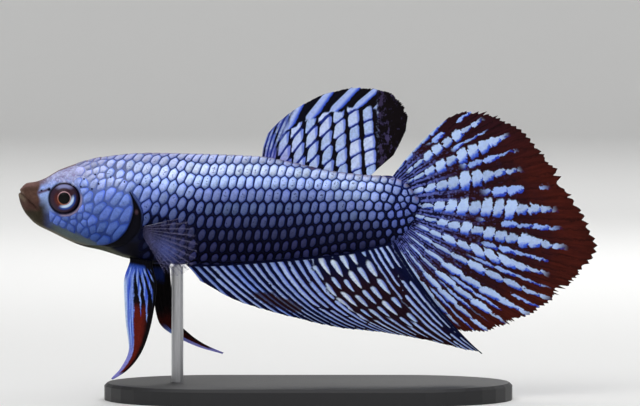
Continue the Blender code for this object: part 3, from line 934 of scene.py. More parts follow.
# The scales' pale colour by height: darker towards the belly, partly own colour and partly painted shade.
def flank_colour(x, z):
    return colour_by_height(flank_height(x, z), FLANK)


def oval_size(x, z):
    """Pale share of a scale's size: the shoulder's scales have the thinnest borders."""
    size = np.interp(flank_height(x, z), HEIGHTS, OVALS)
    return size + (0.95 - size) * step(x, 20, 14.5) * step(z, -1.8, 0.8)


def dark_colour(x, z):
    """The dark colour between scales, a lighter blue over the shoulder."""
    shoulder = step(x, 20, 13) * step(z, -3.0, 0.0)
    return painted_over(colour_by_height(z - midline(x), BETWEEN), (shoulder * 0.75, rgb(44, 62, 142)))


def painted_gill_shade(x, z):
    """Share of near black painted as shade in the hollow behind the gill cover and over the breast."""
    behind = step(x, 19.5, 16.2) * step(z, -2.2, -3.4)
    behind = np.maximum(behind, step(x, 20.5, 17.0) * step(z, -4.2, -5.6) * 0.8)
    return behind * step(x, 11.5, 13.2)


def gill_shares(x, z):
    """(share of black membrane, share of gill cover) at a place on the side of the head."""
    outside, _ = from_line(x, z, GILL_EDGE)
    beyond, _ = from_line(x, z, MEMBRANE_EDGE)
    near = (x > 6.6) & (z < 0.9)
    membrane = np.where(near, step(outside, -0.04, 0.06) * step(beyond, 0.12, -0.06), 0)
    return membrane, np.where(near, step(outside, 0.0, -0.08), 0)


def scaled(x, z):
    """Whether scales of the flank's rows stand at these places, behind the plates of the head."""
    membrane, cover = gill_shares(x - 0.3, z)
    breast = ((z < -3.4) & (x < 14.5)) | ((z < -5.6) & (x < 15.0))
    front = np.where(z > 2.1, 10.2, np.where(z > 0.8, 13.5, 12.2))
    return (cover < 0.5) & (membrane < 0.4) & ~breast & (x > front)


def jaw_layers(x, z):
    """The bare throat, jaw and snout."""
    throat = step(over_throat(x, z, -3.35), 0.35, -0.45) * step(x, 3.0, 4.4) * step(x, 10.8, 8.0)
    jaw, _ = from_line(x, z, MOUTH)
    olive = step(x, 4.4, 2.6) * step(z, 0.4, -1.4)
    snout = step(x + 0.10 * np.sin(z * 4), 2.75, 2.25) * step(z, -1.9, -1.2)
    return (
        (throat, THROAT_GREY),
        (throat * step(x, 8.6, 9.9), rgb(64, 84, 86)),
        (np.maximum(olive, step(x, 5.2, 3.2) * step(z, -3.0, -3.8) * 0.7), JAW_OLIVE),
        (snout, SNOUT_BROWN),
        (snout * step(z, -0.1, -0.9) * 0.7, rgb(70, 48, 44)),
        (bump(jaw, 0.22, 0.16) * step(x, 0.9, 0.4) * 0.7, rgb(128, 108, 98)),
        (step(jaw, 0.05, -0.1) * bump(jaw, -0.25, 0.2) * step(x, 1.2, 0.3) * 0.6, rgb(120, 112, 96)))


def crown_layers(x, z, up):
    """The pale rim of the jaw, the brown crown, and the maroon line to the dark nostrils."""
    line, _ = from_line(x, z, NOSTRIL_LINE)
    return (
        (step(up, -0.86, -0.99) * step(x, 9.5, 7.5) * 0.85, rgb(112, 106, 88)),
        (step(up, 0.93, 0.99) * step(x, 60, 20) * 0.9, CROWN_BROWN),
        (step(up, 0.6, 0.85) * step(x, 4.2, 2.8) * 0.8, CROWN_BROWN),
        (bump(line, 0, 0.17) * step(x, 2.1, 2.5) * step(x, 4.0, 3.7) * 0.9, rgb(74, 24, 44)),
        *((step(np.hypot(x - nx, z - nz), radius * 1.5, radius * 0.8), rgb(20, 8, 24))
          for nx, nz, radius in NOSTRILS))


def orbit_layers(x, z):
    """A dark ring round the eye, with a paler lid low at the back."""
    far = eye_far(x, z)
    back_and_down = (x - EYE_CENTRE[0]) - (z - EYE_CENTRE[2])
    return (
        (step(far, 2.02, 1.84), rgb(30, 26, 52)),
        (bump(far, 2.0, 0.1) * step(back_and_down, 1.0, 2.0) * 0.8, rgb(170, 150, 166)))


def gill_layers(x, z, up):
    """The black membrane with a faint maroon spot, painted shade behind it, and near black under the head."""
    membrane, cover = gill_shares(x, z)
    spot = step(np.hypot((x - 13.95) * 1.5, z + 1.8), 0.42, 0.10)
    under = step(x, 7.6, 9.0) * step(x, 15.0, 13.5) * step(z, -5.0, -5.8) * (1 - cover)
    return (
        (membrane, INK),
        (spot * 0.5, rgb(104, 76, 86)),
        (painted_gill_shade(x, z) * (1 - cover) * 0.92, rgb(12, 12, 22)),
        (under * 0.95, rgb(11, 10, 17)),
        (under * step(up, -0.90, -0.97) * step(x, 14.0, 12.5) * 0.8, rgb(84, 86, 72)))


def skin_colour(x, z, up):
    """The skin's colour. up is 1 at the back and -1 at the belly."""
    head = np.where(scaled(x, z), 0.5, 1) * step(x, 15.2, 13.6)
    between_plates = painted_over(head_colour(x, z), (crease_share(x, z), rgb(18, 30, 104)))
    return painted_over(
        dark_colour(x, z),
        (0.10, flank_colour(x, z)),
        (head, between_plates),
        *jaw_layers(x, z),
        *crown_layers(x, z, up),
        *orbit_layers(x, z),
        *gill_layers(x, z, up))


# ---------------------------------------------------------------------------------------------
# Skin
# ---------------------------------------------------------------------------------------------

SCALE_COAT, PLATE_COAT = 0.15, 0.07  # how far the skin lies inside the CAD under each coat
SKIN_ROUND = 248
SKIN_NODES = ("head", "lower_jaw", "gill_cover_left", "gill_cover_right", "trunk", "tail")


def coat_depth(x):
    return PLATE_COAT + (SCALE_COAT - PLATE_COAT) * step(x, 12.5, 14.5) - PLATE_COAT * step(x, 3.4, 2.2)


def groove(x, z, line, depth, width, start, end):
    """A groove along a line that fades in by the share start of it and out from the share end."""
    far, along = from_line(x, z, line)
    return -depth * bump(far, 0, width) * step(along, 0, start) * step(along, 1, end)


def gill_relief(x, z):
    """The open slit behind the gill cover, and the raised edge of the membrane that spans it."""
    outside, along = from_line(x, z, GILL_EDGE)
    beyond, _ = from_line(x, z, MEMBRANE_EDGE)
    slit = step(along, 0, 0.06) * step(along, 1, 0.85) * ((x > 6.9) & (z < 1.0) & (x < 16))
    opened = step(outside, -0.02, 0.10) * step(beyond, 0.9, -0.2)
    edge = bump(beyond, -0.25, 0.3) * step(outside, 0.1, 0.4)
    return (-0.34 * opened + 0.05 * edge - 0.10 * bump(beyond, 0.0, 0.10)) * slit


def relief(x, z):
    """Height of the head's own forms over its smooth surface, on either side."""
    mouth, along = from_line(x, z, MOUTH)
    lips = 0.05 * bump(mouth, 0.30, 0.20) + 0.05 * bump(mouth, -0.30, 0.20)
    height = (lips - 0.26 * bump(mouth, 0, 0.10)) * step(along, 1.0, 0.8)
    height += groove(x, z, JAW_FOLD, 0.08, 0.12, 0.2, 0.8)
    height += groove(x, z, CHEEK_LINE, 0.06, 0.13, 0.15, 0.85)
    for nx, nz, radius in NOSTRILS:
        far = np.hypot(x - nx, z - nz) / radius
        height += 0.05 * bump(far, 1.4, 0.4) - 1.6 * radius * step(far, 1, 0.4)
    far = eye_far(x, z)
    return height + 0.07 * bump(far, 2.02, 0.14) - 1.5 * step(far, 1.84, 1.62) + gill_relief(x, z)


def skin_stations():
    """Places along the body, finest over the head."""
    turn = np.linspace(0, math.pi / 2, 12)
    rear = BODY_LENGTH - WEDGE
    return np.concatenate((NOSE * (1 - np.cos(turn))[1:], np.linspace(NOSE, 15, 142)[1:],
                           np.linspace(15, rear, 120)[1:], (rear + WEDGE * np.sin(turn))[1:-1]))


def skin_map(stations):
    """The bake's map by face corner: the skin cut along its left side and rolled out flat."""
    u = stations / BODY_LENGTH
    v = np.arange(SKIN_ROUND + 1) / SKIN_ROUND
    u0, v0 = np.meshgrid(u[:-1], v[:-1], indexing="ij")
    u1, v1 = np.meshgrid(u[1:], v[1:], indexing="ij")
    quads = np.stack((u0, v0, u0, v1, u1, v1, u1, v0), axis=-1).reshape(-1, 2)
    middle = (v[:-1] + v[1:]) / 2
    one = np.ones(SKIN_ROUND)
    front = np.stack((0 * one, middle, u[0] * one, v[1:], u[0] * one, v[:-1]), axis=-1).reshape(-1, 2)
    rear = np.stack((one, middle, u[-1] * one, v[:-1], u[-1] * one, v[1:]), axis=-1).reshape(-1, 2)
    return np.concatenate((quads, front, rear)) * 0.996 + 0.002


def skin_faces(rows):
    """Quads between the rows of points, then a fan to each end's own point."""
    index = np.arange(rows * SKIN_ROUND).reshape(rows, SKIN_ROUND)
    after = np.roll(index, -1, axis=1)
    quads = np.stack((index[:-1], after[:-1], after[1:], index[1:]), axis=-1).reshape(-1, 4)
    front = [(rows * SKIN_ROUND, b, a) for a, b in zip(index[0], after[0])]
    return [*quads, *front, *((rows * SKIN_ROUND + 1, a, b) for a, b in zip(index[-1], after[-1]))]


def skin_feel(x, z, up, tone):
    """(gloss, mottling, flecks) of the skin: the jaws are bare, and the crown is flecked."""
    bare_jaw = step(x, 4.0, 2.6)
    black = step(tone.sum(axis=-1), 0.10, 0.03)
    flecked = step(x, 2.7, 3.3) * step(x, 10.0, 7.5) * step(z, 0.9, 1.7) * step(up, 0.99, 0.95)
    gloss = (1 - bare_jaw * 0.6) * (1 - black)
    return np.stack((gloss, 0.35 + 0.4 * np.maximum(bare_jaw, flecked), flecked), axis=-1)


def make_skin(material):
    """The whole fish without its fins, as one closed surface."""
    stations = skin_stations()
    x, angle = np.meshgrid(stations, np.arange(SKIN_ROUND) * 2 * math.pi / SKIN_ROUND, indexing="ij")
    smooth_points, up = body_point(x, angle), np.sin(angle)
    side_on = step(np.abs(np.cos(angle)), 0.04, 0.22)
    height = relief(x, smooth_points[..., 2]) * np.where(x < 1.2, 1, side_on) - coat_depth(x)
    points = smooth_points + body_normal(x, angle) * height[..., None]
    tone = skin_colour(x, smooth_points[..., 2], up)
    feel = skin_feel(x, points[..., 2], up, tone)
    ends = ((0.02, 0, midline(0)), (BODY_LENGTH - SCALE_COAT, 0, midline(BODY_LENGTH)))

    def with_ends(grid, ends):
        return np.concatenate((grid.reshape(-1, 3), ends))

    made = new_mesh("betta_skin", with_ends(points, ends), skin_faces(len(stations)), material,
                    colours={"Tone": with_ends(tone, (tone[0, 0], tone[-1, 0])),
                             "Feel": with_ends(feel, (feel[0, 0], feel[-1, 0]))},
                    corners={"OFBake": skin_map(stations)})
    piece(made, "body_scales", *SKIN_NODES)


# ---------------------------------------------------------------------------------------------
# Scales and head plates. Each is a closed domed plate laid over the skin.
# ---------------------------------------------------------------------------------------------

PLATE_TURNS = 24
PLATE_RINGS = (0.40, 0.72, 0.90, 1.0)
UNDERSIDE, THICKNESS = 0.9, 0.16  # the underside's share of the outline, and how far down it lies
TURN = np.arange(PLATE_TURNS) * 2 * math.pi / PLATE_TURNS
PLATE_RADIUS = np.concatenate(([0], np.repeat(PLATE_RINGS, PLATE_TURNS), np.full(PLATE_TURNS, UNDERSIDE)))
PLATE_OUT = np.concatenate(([(1, 0)], *[circle(PLATE_TURNS)] * (len(PLATE_RINGS) + 1)))
PLATE_MAP = PLATE_RADIUS[:, None] * PLATE_OUT
PATCH_SHARE = 0.72  # of a scale's own width, so that neighbours' patches on the bake's map don't touch


def plate_faces():
    """Faces of one plate: a centre, the rings, and a smaller ring below that closes it."""
    below = range(len(PLATE_RADIUS) - PLATE_TURNS, len(PLATE_RADIUS))
    return fan(PLATE_TURNS) + quads_between(len(PLATE_RINGS) + 1, PLATE_TURNS, 1) + [tuple(reversed(below))]


Plate = namedtuple("Plate", "x q flat height pale dark feel")


class Coat:
    """Collects plates for one side of the body and joins them into one mesh."""

    def __init__(self, side):
        self.side = side
        self.plates = []

    def add(self, x, q, outline, rise, dome, sink, pale, dark, feel):
        """A plate centred at x and arc q, with a (dx, dq) outline. It lies sink over the CAD surface,
        its rear edge rise over that, and its middle dome over its rim."""
        flat = np.concatenate([np.zeros((1, 2))] + [outline * r for r in (*PLATE_RINGS, UNDERSIDE)])
        height = sink + rise * flat[:, 0] / np.abs(outline[:, 0]).max() + dome * (1 - PLATE_RADIUS**3)
        height[-PLATE_TURNS:] -= THICKNESS
        self.plates.append(Plate(x, q, flat, height, pale, dark, feel))

    def each(self, key):
        """One entry of every plate."""
        return np.array([getattr(plate, key) for plate in self.plates])

    def spread(self, key):
        """One entry of every plate, for each of its points."""
        return np.repeat(self.each(key), len(PLATE_RADIUS), axis=0)

    def points(self, x, q):
        """The plates' points, with those past the body's end carried straight on."""
        last = BODY_LENGTH - 0.25
        points = over_body(np.minimum(x, last), q, self.each("height"), self.side)
        points[..., 0] += np.maximum(x - last, 0)
        return points.reshape(-1, 3)

    def faces(self):
        one = plate_faces() if self.side == RIGHT else turned_over(plate_faces())
        starts = range(0, len(self.plates) * len(PLATE_RADIUS), len(PLATE_RADIUS))
        return [tuple(k + start for k in face) for start in starts for face in one]

    def build(self, name, material, slot):
        flat = self.each("flat")
        x = np.clip(self.each("x")[:, None] + flat[..., 0], 0.4, BODY_LENGTH + 0.3)
        q = self.each("q")[:, None] + flat[..., 1]
        patch = np.stack((x / BODY_LENGTH, 0.5 + q / (top_arc(x) + bottom_arc(x))), axis=-1)
        centre = patch[:, :1]
        patch = (centre + (patch - centre) * PATCH_SHARE).reshape(-1, 2)
        # A brown stripe runs along the middle of the back.
        crown = step(q, top_arc(x) - 0.85, top_arc(x) - 0.15).reshape(-1)
        made = new_mesh(name, self.points(x, q), self.faces(), material,
                        maps={"OFBake": np.clip(patch, 0.001, 0.999),
                              "Scale": np.tile(PLATE_MAP, (len(self.plates), 1))},
                        colours={"Pale": painted_over(self.spread("pale"), (crown * 0.75, BACK_BROWN)),
                                 "Dark": self.spread("dark"), "Feel": self.spread("feel")})
        piece(made, slot)


# The flank's rows, numbered up from mid side, and its columns. Each row down, scales stand DRIFT of a
# column further back, and ROW_RISE lifts the rows over mid side.
ROW_PITCH = smooth(((8, 1.4), (13, 1.50), (20, 1.58), (30, 1.55), (33, 1.45), (36, 1.32), (39, 1.22),
                    (42, 1.12), (44.5, 0.95), (47.5, 0.72)))
ROW_RISE = smooth(((8, 2.7), (13, 2.3), (15.7, 1.7), (17.7, 1.15), (19.7, 0.52), (22, 0.06), (24, 0),
                   (30, 0), (36, 0.2), (39, 0.3), (47.5, 0.2)))
COLUMN_PITCH = smooth(((8, 1.15), (13, 1.08), (16, 1.0), (20, 1.07), (27, 1.02), (34, 1.03), (38, 1.08),
                       (42, 1.06), (44.5, 0.92), (47.5, 0.72)))
DRIFT = smooth(((13, 0), (19, 0), (23, 0.17), (27, 0.20), (32, 0.25), (39, 0.33), (43, 0.42), (47.5, 0.5)))
FIRST_COLUMN, FRONT_PITCH = 13.0, 1.12  # where column 0 stands, and the pitch ahead of it


class Place:
    """Where a scale or plate stands: its middle at x and arc q, its pitch along and up the side, and
    the slope of its long axis from upright."""

    def __init__(self, x, q, across, up, lean):
        self.x, self.q, self.across, self.up, self.lean = x, q, across, up, lean
        self.z = float(height_at(x, q))

    def apart(self, x, q):
        """From this place to others, measured in its own pitches."""
        along = x - self.x - self.lean * (q - self.q)
        return np.stack((along / self.across, (q - self.q) / self.up), axis=-1)


def flank_places(rng):
    """Rows of scales from the temple to the root of the tail fin."""
    columns = [FIRST_COLUMN]
    while columns[-1] < BODY_LENGTH + 3:
        columns.append(columns[-1] + float(COLUMN_PITCH(columns[-1])))
    column_x = smooth(tuple(enumerate(columns)))
    grids = np.meshgrid(np.arange(-9, 9), np.arange(-8, len(columns)), indexing="ij")
    row, k = (grid.ravel() for grid in grids)
    number = k - DRIFT(column_x(np.maximum(k, 0))) * row
    x = np.where(number > 0, column_x(np.maximum(number, 0)), FIRST_COLUMN + number * FRONT_PITCH)
    uneven = 0.035 + 0.10 * step(x, 40.5, 45)
    x = x + rng.normal(0, 1, x.shape) * uneven
    across, up = COLUMN_PITCH(x), ROW_PITCH(x)
    q = row * up + ROW_RISE(x) + rng.normal(0, 1, x.shape) * uneven
    lean = (0.5 - DRIFT(x)) * across / up + rng.normal(0, 0.03, x.shape)
    fits = (x > 9) & (x < BODY_LENGTH - 0.2) & (q > -bottom_arc(x) - 0.1) & (q < top_arc(x) + 0.1)
    found = [Place(*values) for values in zip(x[fits], q[fits], across[fits], up[fits], lean[fits])]
    return [place for place, here in zip(found, scaled(x[fits], np.array([p.z for p in found]))) if here]


def bare(x, z):
    """Where plates don't reach: the eye's ring, the gill slit, the throat and the snout."""
    outside, _ = from_line(x, z, GILL_EDGE)
    beyond, _ = from_line(x, z, MEMBRANE_EDGE)
    slit = (outside > -0.07) & (beyond < 0.15) & (z < 0.62)
    throat = (over_throat(x, z, -3.55) < 0) & (x < 9)
    return (eye_far(x, z) < 2.14) | slit | throat | (x < 3.6)


def on_cover(x, z):
    in_front, past_cheek = from_line(x, z, GILL_EDGE)[0] < -0.38, from_line(x, z, CHEEK_LINE)[0] > 0.2
    return in_front & past_cheek & (x > 8.2) & (z < 1.5)


def on_jowl(x, z):
    return (x > 3.7) & (x < 9.6) & (z < -1.2) & (over_throat(x, z, -3.0) > 0) & (z > -5.3)


# The parts of the head with plates of one kind: their pitch across and up, the slope of their long
# axis from upright, and whether a plate may stand at (x, z). The first that wants a place has it.
Region = namedtuple("Region", "across up lean wanted")
REGIONS = (
    Region(1.42, 2.20, 0.55, on_cover),
    Region(1.05, 1.20, 0.35, lambda x, z: (x > 9.4) & (z > 0.7)),
    Region(0.95, 1.12, 0.15, on_jowl),
    Region(0.88, 1.10, 0.30, lambda x, z: (x > 7.0) & (x < 9.9) & (z > -1.5) & (z < 1.8)),
    Region(1.00, 1.12, 0.30, lambda x, z: (x > 7.4) & (z > 1.2) & (z < back(x) - 0.05)),
)
PLATE_TRIES = 2600
THROWS = ((1.0, 0.80), (0.72, 0.92))  # size of the plates, and the room that each needs in its pitches
PORES = ((7.4, 1.18), (8.7, 0.94), (9.05, 2.59), (9.5, 1.53), (10.9, 2.29), (7.76, 2.1), (12.5, 1.75),
         (14.3, 1.45), (15.75, 1.8), (16.7, 1.65))


def head_places(rng, taken):
    """Plates are thrown at random over the head, and stay where they have room beside the others.
    A second throw fills the holes with small ones."""
    x, z = rng.uniform(3.7, 14.6, PLATE_TRIES), rng.uniform(-5.6, 4.6, PLATE_TRIES)
    behind_gill = (from_line(x, z, GILL_EDGE)[0] > -0.12) & (z < 0.62)
    wanted = np.stack([region.wanted(x, z) for region in REGIONS])
    fits = wanted.any(axis=0) & ~behind_gill & ~bare(x, z) & ~scaled(x, z)
    x, z, kinds = x[fits], z[fits], wanted.argmax(axis=0)[fits]
    kept = list(taken)
    for size, room in THROWS:
        for px, pq, kind in zip(x, arc_at(x, z), kinds):
            region = REGIONS[kind]
            place = Place(px, pq, region.across * size, region.up * size, region.lean)
            apart = place.apart(np.array([k.x for k in kept]), np.array([k.q for k in kept]))
            if np.hypot(*apart.T).min() > room:
                kept.append(place)
    return kept[len(taken):]


REACH = 0.95  # how far a plate or scale may spread where it has no neighbour, in its pitches


def cell_outline(place, x, q, gap, sharp):
    """A polygon round a place, out to half way to each of the places x, q, as (dx, dq). A high sharp
    gives it crisp corners."""
    d = place.apart(x, q)
    far = np.hypot(*d.T)
    near = (far > 1e-6) & (far < 3)
    d, far = d[near], far[near]
    facing = np.cos(TURN[:, None] - np.arctan2(d[:, 1], d[:, 0])[None, :])
    push = np.maximum(facing, 0) / np.maximum(far / 2 - gap, 0.2)[None, :]
    radius = ((push**sharp).sum(axis=1) + REACH**-sharp) ** (-1 / sharp)
    dq = np.sin(TURN) * radius * place.up
    return np.stack((np.cos(TURN) * radius * place.across + place.lean * dq, dq), axis=1)


def with_mirrored(x, q):
    """Also the same places as seen across the middle of the back and of the belly."""
    return np.tile(x, 3), np.concatenate((q, 2 * top_arc(x) - q, -2 * bottom_arc(x) - q))


def held_back(place, outline):
    """The outline with each point that falls where plates don't reach drawn in towards the middle."""
    share = np.ones(len(outline))
    for _ in range(12):
        x, q = place.x + outline[:, 0] * share, place.q + outline[:, 1] * share
        share[bare(x, height_at(x, q))] *= 0.9
    return outline * share[:, None]


def add_scale(coat, place, outline, rng):
    x, z = place.x, place.z
    # The scales in the painted shade behind the gill cover are darker, with smaller pale ovals.
    hollow, tail = float(painted_gill_shade(x, z)), float(step(x, 41, 45))
    pale = painted_over(
        flank_colour(x, z),
        (0.45 * step(x, 18.5, 13.5) * step(z, 4.0, 2.0), rgb(112, 138, 216)),
        (hollow * 0.9, rgb(20, 22, 48)),
        (tail * 0.6 * step(z, -6.0, -4.0), rgb(104, 122, 200)))
    size = (oval_size(x, z) + rng.normal(0, 0.03)) * (1 - 0.2 * hollow) * (1 - 0.20 * tail)
    specks = 1.0 if rng.random() < 0.6 * step(z, -5, -2) else 0.2
    if x < 16.5:
        outline = held_back(place, outline)
    # The back's scales lie flat, for a smooth outline.
    flat = float(step(place.q, top_arc(x) - 2.2, top_arc(x) - 0.8))
    coat.add(x, place.q, outline, 0.07 - 0.05 * flat, 0.055, -0.085 + 0.03 * flat,
             pale, dark_colour(x, z), (min(size, 0.98), rng.random(), specks))


def add_plate(coat, place, outline, rng):
    x, z = place.x, place.z
    plain = float(step(z, 1.2, 2.6) * step(x, 10.5, 8.0))
    cheek = float(step(x, 9.4, 8.0) * step(z, 0.5, -0.5))
    pale = head_colour(x, z) * rng.normal(1, 0.08)
    dark = painted_over(rgb(22, 36, 118), (0.25 + 0.5 * plain + 0.22 * cheek, pale))
    coat.add(x, place.q, held_back(place, outline), 0.05, 0.08 - 0.03 * cheek, -0.07,
             pale, dark, (0.98, rng.random(), 0.25))


def make_coats(material):
    """Scales over the flanks, irregular plates over the head, and a few pores."""
    ink = rgb(14, 14, 52)
    pores = [(x, q) for (x, _), q in zip(PORES, arc_at(*np.array(PORES).T))]
    for side, word in SIDES:
        rng = np.random.default_rng(11 + side)
        scales = flank_places(rng)
        plates = head_places(rng, [s for s in scales if s.x < 16])
        every = scales + plates
        x, q = with_mirrored(np.array([p.x for p in every]), np.array([p.q for p in every]))
        flank, head = Coat(side), Coat(side)
        for scale in scales:
            crisp = 7 + 40 * max(float(oval_size(scale.x, scale.z)) - 0.62, 0)
            add_scale(flank, scale, cell_outline(scale, x, q, 0.012, crisp), rng)
        for plate in plates:
            add_plate(head, plate, cell_outline(plate, x, q, 0.010, 24), rng)
        for at in pores:
            head.add(*at, circle(PLATE_TURNS) * (0.09, 0.12), 0.0, 0.01, 0.012, ink, ink, (1.0, 0.5, 0.0))
        flank.build(f"betta_scales_{word}", material, "body_scales")
        head.build(f"betta_head_plates_{word}", material, "head_skin")


# ---------------------------------------------------------------------------------------------
# Eyes
# ---------------------------------------------------------------------------------------------

EYE_RINGS, EYE_TURNS = 30, 72
EYE_LIFT = 0.06  # of the domes over the middles of the CAD's eyes


def make_eyes(material):
    """Each eye is a shallow dome with a dished iris and a bulging pupil, closed by a ring behind."""
    r = np.arange(1, EYE_RINGS + 1) / EYE_RINGS
    dome = 1.06 * np.sqrt(1 - (r * 0.97) ** 2) - 0.02
    dome += 0.05 * np.exp(-((r / 0.34) ** 4)) - 0.06 * bump(r, 0.60, 0.16)
    across, up, out = ring_points(np.append(EYE_RADIUS * r, 0.7), np.append(dome, -0.7), EYE_TURNS).T
    up[:-EYE_TURNS] += EYE_LIFT
    disc = ring_points(np.append(r, 1.02), 0 * np.append(r, 0), EYE_TURNS)[:, :2]
    rear = range(EYE_RINGS * EYE_TURNS, (EYE_RINGS + 1) * EYE_TURNS)
    faces = quads_between(EYE_RINGS + 1, EYE_TURNS) + [tuple(range(EYE_TURNS)), tuple(reversed(rear))]
    for side, word in SIDES:
        points = (EYE_CENTRE + np.stack((across, out, up), axis=1)) * (1, side, 1)
        made = new_mesh(f"betta_eye_{word}", points, faces if side == RIGHT else turned_over(faces), material,
                        maps={"OFBake": disc * 0.48 + 0.5, "Eye": disc})
        piece(made, "eye", f"eye_{word}")


# ---------------------------------------------------------------------------------------------
# The fins as sheets: each gives (x, y, z) for s, from 0 at its front or top to 1 at its other end, and
# t, from 0 at the root to 1 at the rim. t under 0 lies within the body.
# ---------------------------------------------------------------------------------------------

GAP = 0.2  # between the CAD's fins and body


def direction(degrees):
    return np.array((math.cos(math.radians(degrees)), math.sin(math.radians(degrees))))


def bent_ray(root, tip, degrees, t, stiffness=0.45):
    """A point on a ray that leaves its root at this angle and curves to its tip, as (x, z)."""
    root, tip = np.array(root), np.array(tip)
    handle = root + direction(degrees) * np.linalg.norm(tip - root) * stiffness
    return (1 - t) ** 2 * root + 2 * t * (1 - t) * handle + t**2 * tip


TAIL_HUB = (43.0, -1.9)
TAIL_RADIUS = smooth(((-59.5, 16.4), (-42, 20.0), (-28, 22.3), (-18, 24.4), (-10, 25.386),
                      (-2, 23.9), (6, 22.3), (27, 19.3), (42, 17.3), (50, 15.8), (56, 13.5)))
# Where each ray of the tail fin is, from the top to just past the lower edge of the CAD's fin, so
# that the fin passes behind the rear edge of the anal fin.
TAIL_WARP = smooth(((0, 0), (1, 0.117), (2, 0.215), (3, 0.34), (4, 0.476), (5, 0.577), (6, 0.66), (7, 0.725),
                    (8, 0.79), (9, 0.85), (10, 0.91), (11, 0.97), (12, 1.035)))


def tail_sheet(s, t):
    along, up = direction(82 - 164 * s)
    x = CAD_LENGTH - CAD_WEDGE + (CAD_WEDGE + 1.5 * GAP) * along
    root = (x, midline(x) + (from_midline(x, up) + 1.5 * GAP) * up)
    tip_angle = 56 - 115.5 * s
    tip = np.array(TAIL_HUB) + TAIL_RADIUS(tip_angle) * direction(tip_angle)
    x, z = bent_ray(root, tip, 54 - 121 * s, t)
    return x, 0.55 * t * abs(t) * math.sin(5.5 * s + 0.6), z


ANAL_FRONT, ANAL_REAR = 19.9, 43.2
ANAL_TIP_X = smooth(((0, 21.3), (0.06, 25.5), (0.2, 31.8), (0.39, 38.3), (0.53, 42.4),
                     (0.74, 47.7), (0.93, 52.6), (1, 54.4)))
ANAL_TIP_Z = smooth(((0, -10.0), (0.06, -12.3), (0.2, -14.2), (0.39, -15.6), (0.53, -16.0),
                     (0.74, -16.9), (0.93, -18.1), (1, -18.5)))
ANAL_SWEEP = smooth(((0, -45), (0.2, -50), (0.5, -62), (0.8, -64), (1, -59)))


def anal_sheet(s, t):
    x = ANAL_FRONT + (ANAL_REAR - ANAL_FRONT) * s
    root = (x, belly(x) - GAP)
    x, z = bent_ray(root, (ANAL_TIP_X(s), ANAL_TIP_Z(s)), ANAL_SWEEP(s), t, 0.45 + 0.13 * s)
    return x, 0.25 * t * math.sin(7 * s) - 1.05 * s * s * t * (2 - t), z


DORSAL_FRONT, DORSAL_REAR = 28.6, 41.6
DORSAL_TIP_X = smooth(((0, 29.3), (0.05, 30.7), (0.12, 33.0), (0.22, 36.5), (0.33, 40.0), (0.45, 42.8),
                       (0.58, 45.0), (0.7, 45.75), (0.82, 45.4), (0.92, 44.7), (1, 44.0)))
DORSAL_TIP_Z = smooth(((0, 7.4), (0.05, 8.9), (0.12, 10.6), (0.22, 12.2), (0.33, 12.9), (0.45, 12.5),
                       (0.58, 11.2), (0.7, 9.4), (0.82, 7.4), (0.92, 6.0), (1, 4.8)))
DORSAL_SWEEP = smooth(((0, 85), (0.15, 68), (0.35, 60), (0.6, 52), (0.85, 46), (1, 42)))


def dorsal_sheet(s, t):
    x = DORSAL_FRONT + (DORSAL_REAR - DORSAL_FRONT) * s
    root = (x, back(x) + GAP)
    x, z = bent_ray(root, (DORSAL_TIP_X(s), DORSAL_TIP_Z(s)), DORSAL_SWEEP(s), t)
    return x, 0.35 * t * math.sin(6 * s + 2), z


# The front and rear edges of each pelvic fin, from root to tip.
PELVIC = {
    LEFT: (((13.1, -7.7), (12.4, -10.2), (12.6, -14.3), (13.0, -17.7), (12.1, -20.0), (10.9, -21.3)),
           ((15.7, -8.15), (16.2, -10.6), (15.7, -14.3), (14.6, -17.9), (12.9, -20.2), (11.1, -21.4))),
    RIGHT: (((15.4, -8.1), (15.7, -11.5), (16.4, -15.0), (18.6, -16.8), (21.2, -18.0), (23.9, -18.8)),
            ((17.6, -8.25), (17.9, -11.6), (18.5, -14.7), (19.9, -16.3), (21.7, -17.6), (24.0, -18.65))),
}


def pelvic_sheet(side):
    front, rear = map(smooth_line, PELVIC[side])

    def sheet(s, t):
        x, z = (1 - s) * front(max(t, 0)) + s * rear(max(t, 0))
        return x, side * (1.0 + 2.3 * t + 0.5 * s * (1 - t)), z - min(t, 0) * 8

    return sheet


PECTORAL_ROOT = (15.3, 3.85, -4.4)
PECTORAL_HEIGHT, PECTORAL_LENGTH, PECTORAL_FLARE = 2.2, 7.3, 34  # of the root; of the rays; degrees out


def pectoral_sheet(side):
    def sheet(s, t):
        back_along, up = PECTORAL_LENGTH * (1 - 0.35 * (2 * s - 0.9) ** 2) * t * direction(12 - 66 * s)
        along, out = back_along * direction(PECTORAL_FLARE)
        out += 0.25 * t * math.sin(4 * s) + min(t, 0) * 4
        x, y, z = PECTORAL_ROOT
        return x + along, side * (y + out), z + PECTORAL_HEIGHT * (0.5 - s) + up

    return sheet


# ---------------------------------------------------------------------------------------------
# The fins as thin solids round their sheets
# ---------------------------------------------------------------------------------------------

# How a fin's mesh is cut: rays, columns to each ray and rows; how deep its root is buried; half its
# thickness on a ray and on the web; depth of the rim's notches and frays, and the frays' seed; and a
# function from a ray's number to s, where the rays aren't even.
FinShape = namedtuple("FinShape", "rays columns rows buried ray web notch fray seed warp", defaults=(None,))


def off_lines(u, count):
    """From 0 on the lines, of which there are count to each ray, to 1 half way between them."""
    return np.abs(u * count - np.round(u * count)) * 2


def fin_rim(shape, u):
    """How far out each column of a fin goes."""
    fray = np.random.default_rng(shape.seed).random(len(u)) * shape.fray
    notch = 0.45 * off_lines(u, 1) ** 2 + 0.55 * off_lines(u, 6)
    return 1 - shape.notch * notch - fray * (1 + np.sin(u * 2.3))


